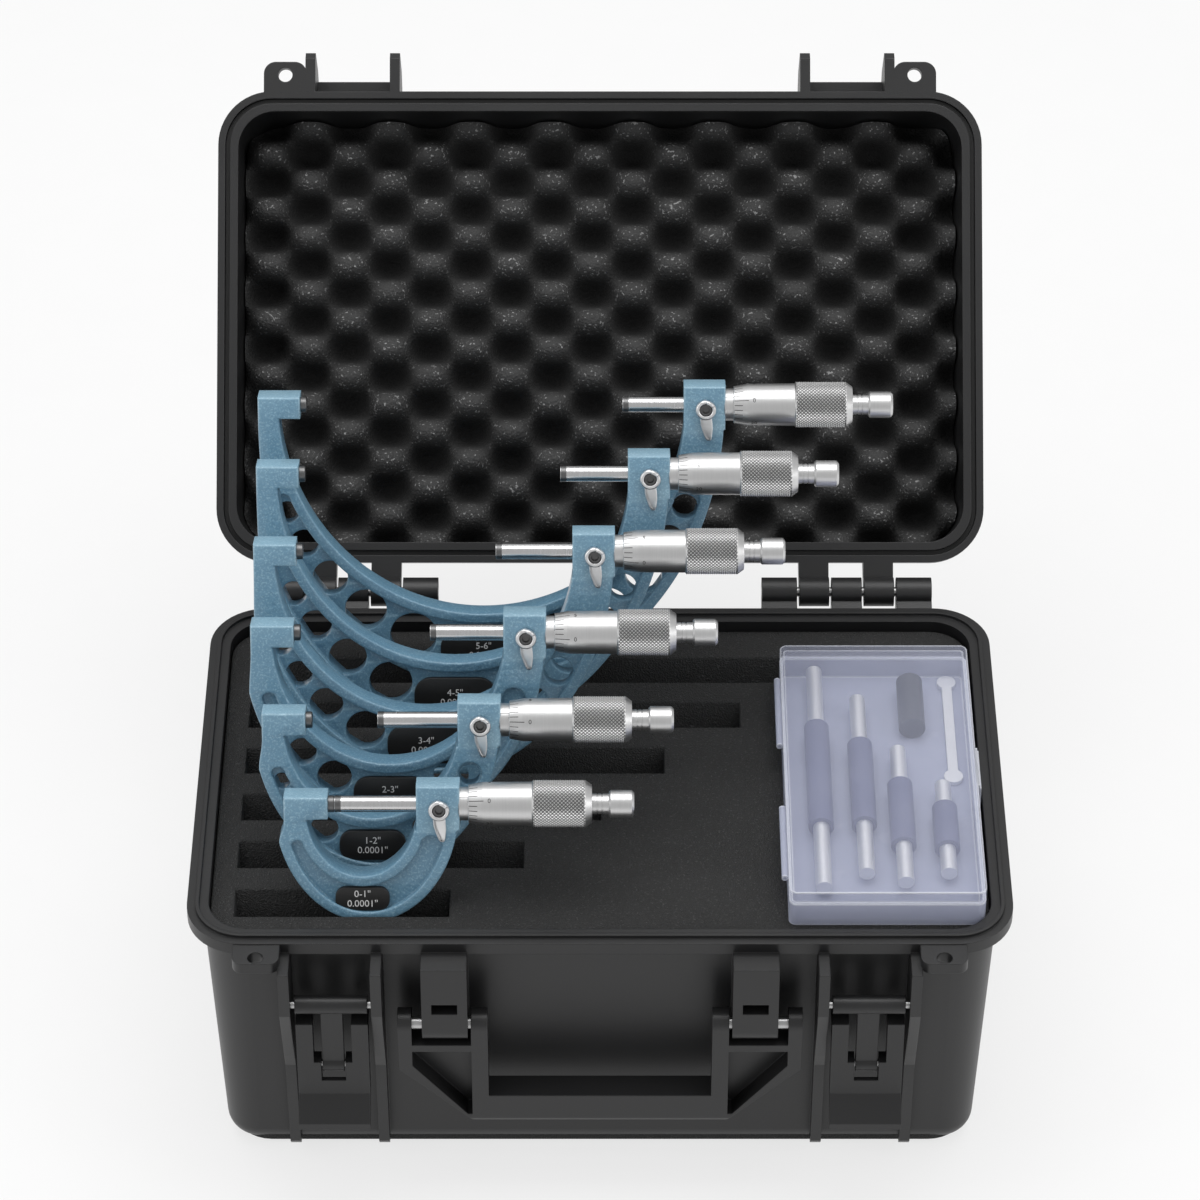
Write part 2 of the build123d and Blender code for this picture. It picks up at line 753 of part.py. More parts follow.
# ---- micrometers ------------------------------------------------------------------------
def bow(i, grow):
    # Centre and half axes of the outer (grow < 0 draws in) and inner curve of frame i.
    outer_a = frame_widths[i] / 2 + grow
    outer_b = frame_depths[i] + grow
    inner_a = (frame_widths[i] - arm_width - hub_width) / 2 - grow
    inner_b = frame_depths[i] - frame_bottoms[i] - grow
    inner_x = arm_width + (frame_widths[i] - arm_width - hub_width) / 2
    return outer_a, outer_b, inner_a, inner_b, inner_x


def make_frame(i, name):
    width = frame_widths[i]
    oa, ob, ia, ib, ix = bow(i, 0.0)
    pa, pb, qa, qb, qx = bow(i, -frame_rim)
    with BuildPart() as frame:
        # C-shaped bow hanging from the spindle line, with the anvil head and the hub.
        with BuildSketch(facing(i)):
            with Locations((width / 2, 0)):
                Ellipse(oa, ob)
            with Locations((ix, 0)):
                Ellipse(ia, ib, mode=Mode.SUBTRACT)
            with Locations((width / 2, ob / 2)):
                Rectangle(2 * width, ob, mode=Mode.SUBTRACT)
            with Locations((head_length / 2, 0)):
                Rectangle(head_length, head_height)
            with Locations((width - hub_width / 2, 0)):
                RectangleRounded(hub_width, hub_height, 2)
            with Locations(((head_length + width - hub_width) / 2, 0)):
                Rectangle(
                    width - hub_width - head_length, anvil_diameter + 2, mode=Mode.SUBTRACT
                )
        extrude(amount=frame_thickness / 2, both=True)
        # Web recessed between the raised rims, on both faces.
        for face in (1, -1):
            with BuildSketch(facing(i, face * frame_thickness / 2)):
                with Locations((width / 2, 0)):
                    Ellipse(pa, pb)
                with Locations((qx, 0)):
                    Ellipse(qa, qb, mode=Mode.SUBTRACT)
                with Locations((width / 2, pb / 2 - hub_height / 2 - frame_rim)):
                    Rectangle(2 * width, pb, mode=Mode.SUBTRACT)
            extrude(amount=-face * web_recess, mode=Mode.SUBTRACT)
        # Pad for the insulating plate, and round lightening holes beside it.
        low = -(ob + ib) / 2
        with BuildSketch(facing(i)):
            with Locations((ix, low)):
                Rectangle(plate_length + 3, plate_height + 2)
        extrude(amount=frame_thickness / 2 - web_recess / 2, both=True)
        for face in (1, -1):
            with BuildSketch(facing(i, face * (frame_thickness / 2 - web_recess / 2))):
                with Locations((ix, low)):
                    Rectangle(plate_length + 2 * plate_gap, plate_height + 2 * plate_gap)
            extrude(amount=face * web_recess, mode=Mode.SUBTRACT)
        for turn in hole_turns(i):
            a = math.radians(turn)
            hole_x = (width / 2 + ix) / 2 + (oa + ia) / 2 * math.sin(a)
            hole_z = -(ob + ib) / 2 * math.cos(a)
            with BuildSketch(facing(i)):
                with Locations((hole_x, hole_z)):
                    Circle(hole_share * (ob - ib) * (1 - 0.25 * abs(math.sin(a))))
            extrude(amount=frame_thickness, both=True, mode=Mode.SUBTRACT)
        # Bores for the anvil in the head and for the sleeve's shank in the hub.
        with BuildSketch(Plane(origin=seat(i), x_dir=(0, 1, 0), z_dir=(1, 0, 0))):
            Circle(anvil_diameter / 2)
        extrude(amount=head_length, mode=Mode.SUBTRACT)
        hub_side = seat(i) + Vector(width - hub_width, 0, 0)
        with BuildSketch(Plane(origin=hub_side, x_dir=(0, 1, 0), z_dir=(1, 0, 0))):
            Circle(sleeve_shank / 2)
        extrude(amount=hub_width, mode=Mode.SUBTRACT)
    write(frame.part, name)


def hole_turns(i):
    # Angles of the lightening holes from straight down, more of them on the larger bows.
    step = [0, 52, 38, 34, 30, 27][i]
    count = [0, 1, 1, 2, 2, 2][i]
    return [sign * step * k for k in range(1, count + 1) for sign in (-1, 1)]


def make_plates(i, name):
    oa, ob, ia, ib, ix = bow(i, 0.0)
    low = -(ob + ib) / 2
    with BuildPart() as plates:
        for face in (1, -1):
            lift = frame_thickness / 2 - web_recess / 2
            with BuildSketch(facing(i, face * lift)) as plate_corners:
                with Locations((ix, low)):
                    Rectangle(plate_length, plate_height)
                chamfer(plate_corners.vertices(), plate_chamfer)
            extrude(amount=face * (web_recess / 2 + plate_proud))
    write(plates.part, name)


def make_sleeve(i, name):
    # Fixed sleeve, its shank through the hub, and the anvil opposite.
    along = Axis(seat(i), (1, 0, 0))
    hub_left = frame_widths[i] - hub_width
    with BuildPart() as sleeve:
        with BuildSketch(facing(i)):
            with BuildLine():
                Polyline(
                    (hub_left, anvil_diameter / 2 + spindle_clearance),
                    (hub_left, sleeve_shank / 2),
                    (frame_widths[i], sleeve_shank / 2),
                    (frame_widths[i], sleeve_diameter / 2),
                    (frame_widths[i] + sleeve_length, sleeve_diameter / 2),
                    (frame_widths[i] + sleeve_length, anvil_diameter / 2 + spindle_clearance),
                    close=True,
                )
            make_face()
        revolve(axis=along)
        with BuildSketch(Plane(origin=seat(i), x_dir=(0, 1, 0), z_dir=(1, 0, 0))):
            Circle(anvil_diameter / 2)
        extrude(amount=anvil_face)
    write(sleeve.part, name)


def make_spindle(i, name):
    face_x = anvil_face + i * inch + closed_gap
    end_x = frame_widths[i] + thimble_start + thimble_smooth + thimble_knurl - thimble_clearance
    at = seat(i) + Vector(face_x, 0, 0)
    with BuildPart() as spindle:
        with BuildSketch(Plane(origin=at, x_dir=(0, 1, 0), z_dir=(1, 0, 0))):
            Circle(anvil_diameter / 2)
        extrude(amount=end_x - face_x)
    write(spindle.part, name)


def make_thimble(i, name):
    # Bevelled thimble, knurled band, and the ratchet stop behind it.
    along = Axis(seat(i), (1, 0, 0))
    x0 = frame_widths[i] + thimble_start
    x1 = x0 + thimble_smooth
    x2 = x1 + thimble_knurl
    x3 = x2 + thimble_nose
    x4 = x3 + ratchet_neck
    x5 = x4 + ratchet_length
    bore = sleeve_diameter / 2 + thimble_clearance
    with BuildPart() as thimble:
        with BuildSketch(facing(i)):
            with BuildLine():
                Polyline(
                    (x0, bore),
                    (x0, bore + 0.5),
                    (x0 + 3, thimble_diameter / 2),
                    (x1, thimble_diameter / 2),
                    (x1, knurl_diameter / 2),
                    (x2, knurl_diameter / 2),
                    (x3, knurl_diameter / 2 - 2.5),
                    (x3, ratchet_neck_diameter / 2),
                    (x4, ratchet_neck_diameter / 2),
                    (x4, ratchet_diameter / 2),
                    (x5, ratchet_diameter / 2),
                    (x5, 0),
                    (x2, 0),
                    (x2, bore),
                    close=True,
                )
            make_face()
        revolve(axis=along)
    write(thimble.part, name)


def make_lock(i, name):
    # Lock screw boss on the hub's front face and its slanting lever.
    x_c = frame_widths[i] - hub_width / 2
    with BuildPart() as lock:
        with BuildSketch(facing(i, frame_thickness / 2 + thimble_clearance)):
            with Locations((x_c, 0)):
                Circle(lock_boss_diameter / 2)
        extrude(amount=lock_boss_height)
        with BuildSketch(facing(i, frame_thickness / 2 + thimble_clearance)):
            with BuildLine():
                Polyline(
                    (x_c - lock_arm_width / 2 - 1, 0),
                    (x_c - 0.6, -lock_arm_length),
                    (x_c + lock_arm_width / 2 + 0.8, -lock_arm_length),
                    (x_c + lock_arm_width / 2 + 1, 0),
                    close=True,
                )
            make_face()
        extrude(amount=lock_arm_thickness)
    write(lock.part, name)


# ---- box of standards -------------------------------------------------------------------
def box_centre(z):
    return Plane(
        origin=(box_left + box_width / 2, box_front + box_depth / 2, z), z_dir=(0, 0, 1)
    )


def make_box():
    floor = foam_top + foam_gap
    with BuildPart() as tray:
        with BuildSketch(box_centre(floor)):
            RectangleRounded(box_width, box_depth, box_corner)
        extrude(amount=tray_height)
        with BuildSketch(box_centre(floor + box_wall)):
            RectangleRounded(
                box_width - 2 * box_wall, box_depth - 2 * box_wall, box_corner - box_wall
            )
        extrude(amount=tray_height, mode=Mode.SUBTRACT)
    write(tray.part, "standards_tray")
    seam = floor + tray_height + cover_gap
    with BuildPart() as cover:
        with BuildSketch(box_centre(seam)):
            RectangleRounded(box_width, box_depth, box_corner)
        extrude(amount=cover_height)
        with BuildSketch(box_centre(seam)):
            RectangleRounded(
                box_width - 2 * box_wall, box_depth - 2 * box_wall, box_corner - box_wall
            )
        extrude(amount=cover_height - box_wall, mode=Mode.SUBTRACT)
        # Snap tongue that hangs over the tray's right side.
        with BuildSketch(
            Plane.YZ.offset(box_left + box_width + cover_gap)
        ):
            with Locations((box_front + box_depth / 2, seam - 1)):
                Rectangle(snap_width, cover_height + 4)
        extrude(amount=1.2)
        with BuildSketch(Plane.YZ.offset(box_left + box_width - 0.4)):
            with Locations((box_front + box_depth / 2, seam + cover_height / 2)):
                Rectangle(snap_width, cover_height - 1)
        extrude(amount=1.2)
    write(cover.part, "standards_cover")
    with BuildPart() as barrels:
        for side in (-1, 1):
            y_mid = box_front + box_depth / 2 + side * cover_hinge_spread / 2
            with BuildSketch(Plane.XZ.offset(-y_mid - cover_hinge_length / 2)):
                with Locations((box_left - cover_hinge_radius, seam - cover_gap / 2)):
                    Circle(cover_hinge_radius)
            extrude(amount=cover_hinge_length)
    write(barrels.part, "standards_hinges")


def make_standards():
    bed = foam_top + foam_gap + box_wall + grip_diameter / 2 + 0.1
    with BuildPart() as rods:
        for inches, x, front in zip(rod_inches, rod_xs, rod_fronts):
            with BuildSketch(Plane(origin=(x, front, bed), x_dir=(1, 0, 0), z_dir=(0, 1, 0))):
                Circle(rod_diameter / 2)
            extrude(amount=inches * inch)
    write(rods.part, "setting_rods")
    with BuildPart() as grips:
        for inches, x, front in zip(rod_inches, rod_xs, rod_fronts):
            length = inches * inch * grip_share
            start = front + (inches * inch - length) / 2
            with BuildSketch(Plane(origin=(x, start, bed), x_dir=(1, 0, 0), z_dir=(0, 1, 0))):
                Circle(grip_diameter / 2)
                Circle(rod_diameter / 2, mode=Mode.SUBTRACT)
            extrude(amount=length)
    write(grips.part, "rod_grips")
    cap_bed = foam_top + foam_gap + box_wall + capsule_diameter / 2 + 0.1
    cap_x = (rod_xs[2] + rod_xs[3]) / 2 - capsule_shift
    with BuildPart() as capsule:
        with BuildSketch(Plane(origin=(cap_x, box_back - capsule_from_back, cap_bed), x_dir=(1, 0, 0), z_dir=(0, 1, 0))):
            Circle(capsule_diameter / 2)
        extrude(amount=capsule_length)
    write(capsule.part, "standard_capsule")
    flat = foam_top + foam_gap + box_wall + 0.1
    spanner_x = rod_xs[3] + spanner_shift
    spanner_end = box_back - spanner_from_back
    with BuildPart() as spanner:
        with BuildSketch(Plane.XY.offset(flat)):
            with Locations((spanner_x, spanner_end + spanner_length / 2)):
                Rectangle(spanner_width, spanner_length - spanner_head)
            with Locations(
                (spanner_x, spanner_end + spanner_head / 2),
                (spanner_x, spanner_end + spanner_length - spanner_head / 2),
            ):
                Circle(spanner_head / 2)
        extrude(amount=spanner_thickness)
    write(spanner.part, "spanner")


make_base()
make_lid()
make_seal()
make_lid_foam()
make_hinge_pins()
make_link_pins()
for hand, tag in ((-1, "left"), (1, "right")):
    make_link(hand, "latch_link_" + tag)
    make_lever(hand, "latch_lever_" + tag)
    make_lever_pin(hand, "lever_pin_" + tag)
make_handle()
make_foam()
for n in range(6):
    number = "micrometer_" + str(n + 1)
    make_frame(n, number + "_frame")
    make_plates(n, number + "_plates")
    make_sleeve(n, number + "_sleeve")
    make_spindle(n, number + "_spindle")
    make_thimble(n, number + "_thimble")
    make_lock(n, number + "_lock")
make_box()
make_standards()
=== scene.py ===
# %% [markdown]
# # A case of outside micrometers
# A moulded black case stands open on a table. Its lid is lined with egg-crate foam, and slotted
# foam in the base holds six outside micrometers beside a frosted box of setting standards. The
# hard parts arrive as solids from the CAD model, already in place, and they keep their shapes.
# This notebook gives them finishes and makes the pieces that need a closer look: the foam, the
# knurled thimbles, the scales and numbers, and the lock levers.

# %% Load the solids
import json
import math
import bmesh
import bpy
from mathutils import Matrix, Vector


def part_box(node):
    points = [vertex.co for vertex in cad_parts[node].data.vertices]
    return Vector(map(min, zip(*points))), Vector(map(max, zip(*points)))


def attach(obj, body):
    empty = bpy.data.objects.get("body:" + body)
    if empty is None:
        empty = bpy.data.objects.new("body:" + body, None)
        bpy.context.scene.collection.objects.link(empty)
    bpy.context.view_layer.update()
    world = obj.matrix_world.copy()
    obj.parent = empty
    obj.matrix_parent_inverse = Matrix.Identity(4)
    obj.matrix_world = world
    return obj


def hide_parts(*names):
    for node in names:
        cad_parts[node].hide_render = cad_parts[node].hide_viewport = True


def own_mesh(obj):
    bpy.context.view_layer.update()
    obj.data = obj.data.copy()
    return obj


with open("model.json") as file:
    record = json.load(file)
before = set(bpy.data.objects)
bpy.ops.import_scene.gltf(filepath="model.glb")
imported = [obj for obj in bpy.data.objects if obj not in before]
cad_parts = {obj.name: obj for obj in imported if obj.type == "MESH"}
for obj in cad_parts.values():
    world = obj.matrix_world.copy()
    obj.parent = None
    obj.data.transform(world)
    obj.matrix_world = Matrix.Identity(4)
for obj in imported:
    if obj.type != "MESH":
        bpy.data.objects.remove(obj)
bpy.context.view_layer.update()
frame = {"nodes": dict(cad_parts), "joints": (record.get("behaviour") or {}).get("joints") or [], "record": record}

nodes = frame["nodes"]
mm = 0.001
draft = math.radians(2.3)
joints = {joint["name"]: joint for joint in frame["joints"]}

# %% [markdown]
# ## Finishes written as sums
# A finish is a small tree of nodes. Drawing it by hand is slow to read back, so one class wraps a
# socket and lets sums be written as Python: `0.3 + 0.2 * grain` adds the two Math nodes. Every
# other node comes from one method that takes its type, its settings and its sockets.

# %% A socket that adds and multiplies
class Wire:
    def __init__(self, finish, socket):
        self.finish = finish
        self.socket = socket

    def sum(self, operation, *values):
        return self.finish.node(
            "ShaderNodeMath", {"operation": operation}, dict(enumerate(values))
        )

    def __add__(self, other):
        return self.sum("ADD", self, other)

    def __sub__(self, other):
        return self.sum("SUBTRACT", self, other)

    def __rsub__(self, other):
        return self.sum("SUBTRACT", other, self)

    def __mul__(self, other):
        return self.sum("MULTIPLY", self, other)

    def __truediv__(self, other):
        return self.sum("DIVIDE", self, other)

    def __mod__(self, other):
        return self.sum("FLOORED_MODULO", self, other)

    def __gt__(self, other):
        return self.sum("GREATER_THAN", self, other)

    def __lt__(self, other):
        return self.sum("LESS_THAN", self, other)

    def __abs__(self):
        return self.sum("ABSOLUTE", self)

    __radd__ = __add__
    __rmul__ = __mul__


print("sums of sockets:", [name for name in vars(Wire) if name.startswith("__r")])

# %% A finish
class Finish:
    def __init__(self, name):
        self.material = bpy.data.materials.new(name)
        self.material.use_nodes = True
        self.tree = self.material.node_tree
        self.tree.nodes.clear()

    def node(self, kind, settings=None, sockets=None, out=0):
        node = self.tree.nodes.new(kind)
        for name, value in (settings or {}).items():
            if name == "stops":
                while len(node.color_ramp.elements) < len(value):
                    node.color_ramp.elements.new(1.0)
                for stop, (place, colour) in zip(node.color_ramp.elements, value):
                    stop.position = place
                    stop.color = colour
            else:
                setattr(node, name, value)
        for name, value in (sockets or {}).items():
            if isinstance(value, Wire):
                self.tree.links.new(value.socket, node.inputs[name])
            else:
                node.inputs[name].default_value = value
        return Wire(self, node.outputs[out]) if node.outputs else None

    def place(self, out="Object"):
        return self.node("ShaderNodeTexCoord", out=out)

    def stretch(self, vector, scale):
        return self.node("ShaderNodeMapping", None, {"Vector": vector, "Scale": scale})

    def noise(self, scale, detail=2.0, rough=0.5, vector=None):
        return self.node(
            "ShaderNodeTexNoise",
            None,
            {
                "Vector": vector or self.place(),
                "Scale": scale,
                "Detail": detail,
                "Roughness": rough,
            },
            "Fac",
        )

    def ramp(self, value, low, high, dark=0.0, light=1.0):
        return self.node(
            "ShaderNodeMapRange",
            {"clamp": True, "interpolation_type": "SMOOTHSTEP"},
            {"Value": value, 1: low, 2: high, 3: dark, 4: light},
        )

    def mix(self, share, one, other):
        return self.node(
            "ShaderNodeMix", {"data_type": "RGBA"}, {0: share, 6: one, 7: other}, 2
        )

    def bump(self, height, distance, normal=None, strength=1.0):
        sockets = {"Height": height, "Distance": distance, "Strength": strength}
        if normal is not None:
            sockets["Normal"] = normal
        return self.node("ShaderNodeBump", None, sockets)

    def soft_edge(self, radius):
        return self.node("ShaderNodeBevel", {"samples": 4}, {"Radius": radius})

    def coat_with(self, **sockets):
        named = {name.replace("_", " "): value for name, value in sockets.items()}
        shader = self.node("ShaderNodeBsdfPrincipled", None, named)
        self.node("ShaderNodeOutputMaterial", None, {"Surface": shader})
        print("finish", self.material.name, "with", len(self.tree.nodes), "nodes")
        return self.material


def grey(value, blue=1.0):
    return (value, value, value * blue, 1.0)


# %% [markdown]
# ## Camera, lamps and floor
# The photograph looks down at forty degrees through a long lens, so the case hardly narrows with
# distance. A large soft lamp overhead and two weak ones at the sides draw broad highlights on
# the chrome and a thin pale line along each moulded edge. The floor is pale, turns white only for
# the camera and for mirrors, and keeps a faint shadow.

# %% Camera
lens = bpy.data.cameras.new("camera")
lens.lens = 148.82
lens.sensor_width = 36.0
lens.clip_end = 20.0
camera = bpy.data.objects.new("camera", lens)
camera.location = (0.0, -1.4607, 1.4604)
camera.rotation_euler = (math.radians(49.49), 0.0, 0.0)
bpy.context.scene.collection.objects.link(camera)
bpy.context.scene.camera = camera
print("camera at", tuple(camera.location))


# %% Lamps
def lamp(name, place, aim, size, power):
    light = bpy.data.lights.new(name, "AREA")
    light.shape = "RECTANGLE"
    light.size, light.size_y = size
    light.energy = power
    holder = bpy.data.objects.new(name, light)
    holder.location = place
    way = Vector(aim) - Vector(place)
    holder.rotation_euler = way.to_track_quat("-Z", "Y").to_euler()
    bpy.context.scene.collection.objects.link(holder)
    print("lamp", name, power, "W")


lamp("lamp_above", (0.0, 0.25, 1.5), (0.0, 0.05, 0.1), (1.5, 0.9), 13.0)
lamp("lamp_left", (-1.3, -0.5, 0.8), (0.0, 0.0, 0.15), (0.5, 1.1), 4.0)
lamp("lamp_right", (1.3, -0.5, 0.8), (0.0, 0.0, 0.15), (0.5, 1.1), 4.0)


# %% Floor and room
def new_object(name, mesh):
    piece = bpy.data.objects.new(name, mesh)
    bpy.context.scene.collection.objects.link(piece)
    return piece


def seen_white(finish):
    path = [
        finish.node("ShaderNodeLightPath", None, None, ray)
        for ray in ("Is Camera Ray", "Is Glossy Ray", "Is Transmission Ray")
    ]
    return path[0].sum("MAXIMUM", path[0].sum("MAXIMUM", path[0], path[1]), path[2])


floor_finish = Finish("floor")
paper = floor_finish.noise(40.0)
diffuse = floor_finish.node(
    "ShaderNodeBsdfDiffuse",
    None,
    {"Color": floor_finish.mix(paper, grey(0.84), grey(0.88))},
)
glow = floor_finish.node(
    "ShaderNodeEmission", None, {"Color": grey(1.0), "Strength": 1.0}
)
shown = floor_finish.node(
    "ShaderNodeMixShader", None, {0: seen_white(floor_finish) * 0.72, 1: diffuse, 2: glow}
)
floor_finish.node("ShaderNodeOutputMaterial", None, {"Surface": shown})

sheet = bmesh.new()
bmesh.ops.create_grid(sheet, x_segments=1, y_segments=1, size=6.0)
floor_mesh = bpy.data.meshes.new("floor")
sheet.to_mesh(floor_mesh)
floor = new_object("floor", floor_mesh)
floor.data.materials.append(floor_finish.material)

world = bpy.data.worlds.new("room")
world.use_nodes = True
world.node_tree.nodes["Background"].inputs["Color"].default_value = grey(1.0)
world.node_tree.nodes["Background"].inputs["Strength"].default_value = 0.55
bpy.context.scene.world = world
bpy.context.scene.view_settings.view_transform = "Standard"
print("floor and room ready")

# %% [markdown]
# ## Moulded plastic
# The shells, latches and handle are injection moulded in black. Such plastic is never one flat
# black: its gloss drifts from cloud to cloud and it carries a very fine grain. The shader's
# Bevel node rounds the edges for the light alone, so the solids keep their faces.

# %% Black plastic
black = Finish("case_plastic")
cloud = black.noise(22.0, 3.0)
grain = black.noise(1900.0, 1.0)
case_plastic = black.coat_with(
    Base_Color=black.mix(cloud, grey(0.0095, 1.05), grey(0.0145, 1.05)),
    Roughness=0.33 + 0.1 * cloud + 0.05 * grain,
    Normal=black.bump(grain, 0.00004, black.soft_edge(0.0006)),
    Specular_IOR_Level=0.5,
)

# %% Seal rubber, pins and plates
rubber = Finish("seal_rubber")
dust = rubber.noise(700.0)
seal_rubber = rubber.coat_with(
    Base_Color=rubber.mix(dust, grey(0.008), grey(0.016)),
    Roughness=0.62 + 0.12 * dust,
    Normal=rubber.bump(dust, 0.00005),
)

pin = Finish("pin_steel")
turned = pin.noise(1.0, 2.0, 0.6, pin.stretch(pin.place(), (3500.0, 150.0, 150.0)))
pin_steel = pin.coat_with(
    Base_Color=pin.mix(turned, grey(0.42), grey(0.56)),
    Metallic=1.0,
    Roughness=0.24 + 0.14 * turned,
    Normal=pin.bump(turned, 0.00001, pin.soft_edge(0.0003)),
)

label = Finish("plate_black")
speck = label.noise(1500.0)
plate_black = label.coat_with(
    Base_Color=label.mix(speck, grey(0.010), grey(0.020)),
    Roughness=0.36 + 0.1 * speck,
    Normal=label.bump(speck, 0.00002, label.soft_edge(0.0003)),
)

# %% [markdown]
# ## Foam
# Both foams are polyurethane, dark grey to black. Seen close, foam is a mass of tiny open cells
# whose walls catch the light as sparkles, more so on the soft open foam of the lid. Cells come
# from a Voronoi pattern for the bumps, and a second, sparser one picks out the sparkles, which
# are painted into the colour as highlights. In the lid the valleys between the peaks are painted
# darker as shade, and the painted sparkles stay on the peaks.

# %% Lid foam and base foam
def foam_finish(name, cell, sparkle, low, high, rough, raised=None):
    foam = Finish(name)
    cells = foam.node(
        "ShaderNodeTexVoronoi", None, {"Vector": foam.place(), "Scale": cell}, "Distance"
    )
    patch = foam.noise(35.0, 3.0)
    fleck = foam.noise(cell * 0.8, 1.0, 0.6)
    # Painted highlights: sparse flecks lift the colour towards grey as sparkles.
    shine = foam.ramp(fleck, 0.60, 0.74) * sparkle
    base = foam.mix(patch, grey(low), grey(high))
    if raised:
        # Painted shade: on the lid the colour darkens from the peaks into the valleys, and the painted sparkles
        # stay on the peaks.
        peak = foam.node("ShaderNodeAttribute", {"attribute_name": raised}, None, "Fac")
        lit = foam.ramp(peak, 0.35, 1.0)
        base = foam.mix(lit, grey(low * 0.35), base)
        shine = shine * lit
    return foam.coat_with(
        Base_Color=foam.mix(shine, base, grey(0.32)),
        Roughness=rough - 0.25 * shine,
        Normal=foam.bump(cells, 0.0005),
        Specular_IOR_Level=0.35,
    )


lid_foam_black = foam_finish("lid_foam", 900.0, 0.8, 0.036, 0.056, 0.85, "peak")
case_foam = foam_finish("case_foam", 1500.0, 0.12, 0.022, 0.032, 0.8)

# %% [markdown]
# ## Enamel and metals
# The bows are castings under light-blue hammered enamel: a glossy coat whose surface crawls
# into shallow dimples a millimetre or so across. Its sharp edges get a painted highlight, paler
# in the colour. The sleeves and thimbles are satin chrome, turned, so their finest scratches run
# round the axis. Spindles and standards are ground steel.

# %% Hammered enamel
enamel = Finish("frame_paint")
dimple = enamel.node(
    "ShaderNodeTexVoronoi",
    {"feature": "SMOOTH_F1"},
    {"Vector": enamel.place(), "Scale": 620.0, "Smoothness": 0.8},
    "Distance",
)
fleck = enamel.noise(1300.0, 2.0, 0.6)
tone = enamel.noise(30.0, 2.0)
sharp = enamel.node("ShaderNodeNewGeometry", None, None, "Pointiness")
# Painted highlight: the sharpest edges, found by pointiness, are made paler in the colour.
painted_edge_highlight = enamel.ramp(sharp, 0.515, 0.58)
blue_low = (0.095, 0.215, 0.320, 1.0)
blue_high = (0.140, 0.280, 0.390, 1.0)
blue_pale = (0.340, 0.520, 0.620, 1.0)
frame_paint = enamel.coat_with(
    Base_Color=enamel.mix(
        enamel.ramp(fleck, 0.48, 0.72) * 0.5 + painted_edge_highlight * 0.5,
        enamel.mix(tone, blue_low, blue_high),
        blue_pale,
    ),
    Roughness=0.3 + 0.12 * fleck,
    Normal=enamel.bump(dimple, 0.00022, enamel.soft_edge(0.0007)),
    Coat_Weight=0.35,
    Coat_Roughness=0.18,
)


# %% Chrome and steel
def metal(name, low, high, rough, rings, edge, depth):
    part = Finish(name)
    scratch = part.noise(1.0, 3.0, 0.6, part.stretch(part.place(), rings))
    smear = part.noise(60.0, 2.0)
    return part.coat_with(
        Base_Color=part.mix(scratch, grey(low), grey(high, 1.01)),
        Metallic=1.0,
        Roughness=rough + 0.1 * scratch + 0.06 * smear,
        Normal=part.bump(scratch, depth, part.soft_edge(edge)),
    )


satin_chrome = metal("satin_chrome", 0.60, 0.72, 0.30, (5200.0, 90.0, 90.0), 0.0002, 8e-6)
bright_steel = metal("bright_steel", 0.58, 0.70, 0.17, (2600.0, 60.0, 60.0), 0.0002, 6e-6)
rod_steel = metal("rod_steel", 0.84, 0.92, 0.42, (60.0, 2600.0, 60.0), 0.0003, 2e-6)
lever_chrome = metal("lever_chrome", 0.70, 0.82, 0.26, (500.0, 500.0, 500.0), 0.0003, 1e-6)

# %% [markdown]
# ## Frosted box
# The box of standards is polypropylene, milky rather than clear: it scatters light in its walls,
# so it looks pale bluish even over black foam, and denser at its edges where the eye looks along
# a wall. Alpha carries that: it rises with Layer Weight and at the rounded corners. The cover is
# thinner than the tray, so that the rods show through it.

# %% Frosted plastic, grips and capsule
def frosted(name, low, high, edge):
    frost = Finish(name)
    milk = frost.noise(55.0, 3.0)
    facing = frost.node("ShaderNodeLayerWeight", None, {"Blend": 0.25}, "Facing")
    flat = frost.node("ShaderNodeNewGeometry", None, None, "Normal")
    rounded = frost.soft_edge(0.0016)
    along = frost.node(
        "ShaderNodeVectorMath", {"operation": "DOT_PRODUCT"}, {0: flat, 1: rounded}, "Value"
    )
    corner = frost.ramp(1.0 - along, 0.01, 0.16)
    pale = frost.mix(milk, (0.50, 0.53, 0.68, 1.0), (0.56, 0.59, 0.73, 1.0))
    return frost.coat_with(
        Base_Color=frost.mix(corner, pale, (0.86, 0.88, 0.93, 1.0)),
        Roughness=0.22 + 0.08 * milk,
        Alpha=low + (high - low) * milk + 0.25 * facing + edge * corner,
        Normal=frost.bump(milk, 0.0002, frost.soft_edge(0.0005)),
    )


cover_frost = frosted("cover_frost", 0.11, 0.16, 0.5)
tray_frost = frosted("tray_frost", 0.55, 0.62, 0.3)

grip = Finish("grip_blue")
skin = grip.noise(420.0, 3.0)
grip_blue = grip.coat_with(
    Base_Color=grip.mix(skin, (0.100, 0.110, 0.200, 1.0), (0.140, 0.150, 0.250, 1.0)),
    Roughness=0.42 + 0.15 * skin,
    Normal=grip.bump(skin, 0.0001, grip.soft_edge(0.0005)),
)

cap = Finish("capsule_dark")
rind = cap.noise(300.0, 3.0)
capsule_dark = cap.coat_with(
    Base_Color=cap.mix(rind, grey(0.012), grey(0.030)),
    Roughness=0.38 + 0.2 * rind,
    Normal=cap.bump(rind, 0.0001, cap.soft_edge(0.0005)),
)

# %% [markdown]
# ## Dress the solids
# Each solid already knows the name of its finish, because the CAD record lists one per node. A
# solid that keeps its shape only needs the new finish put into its material slots.

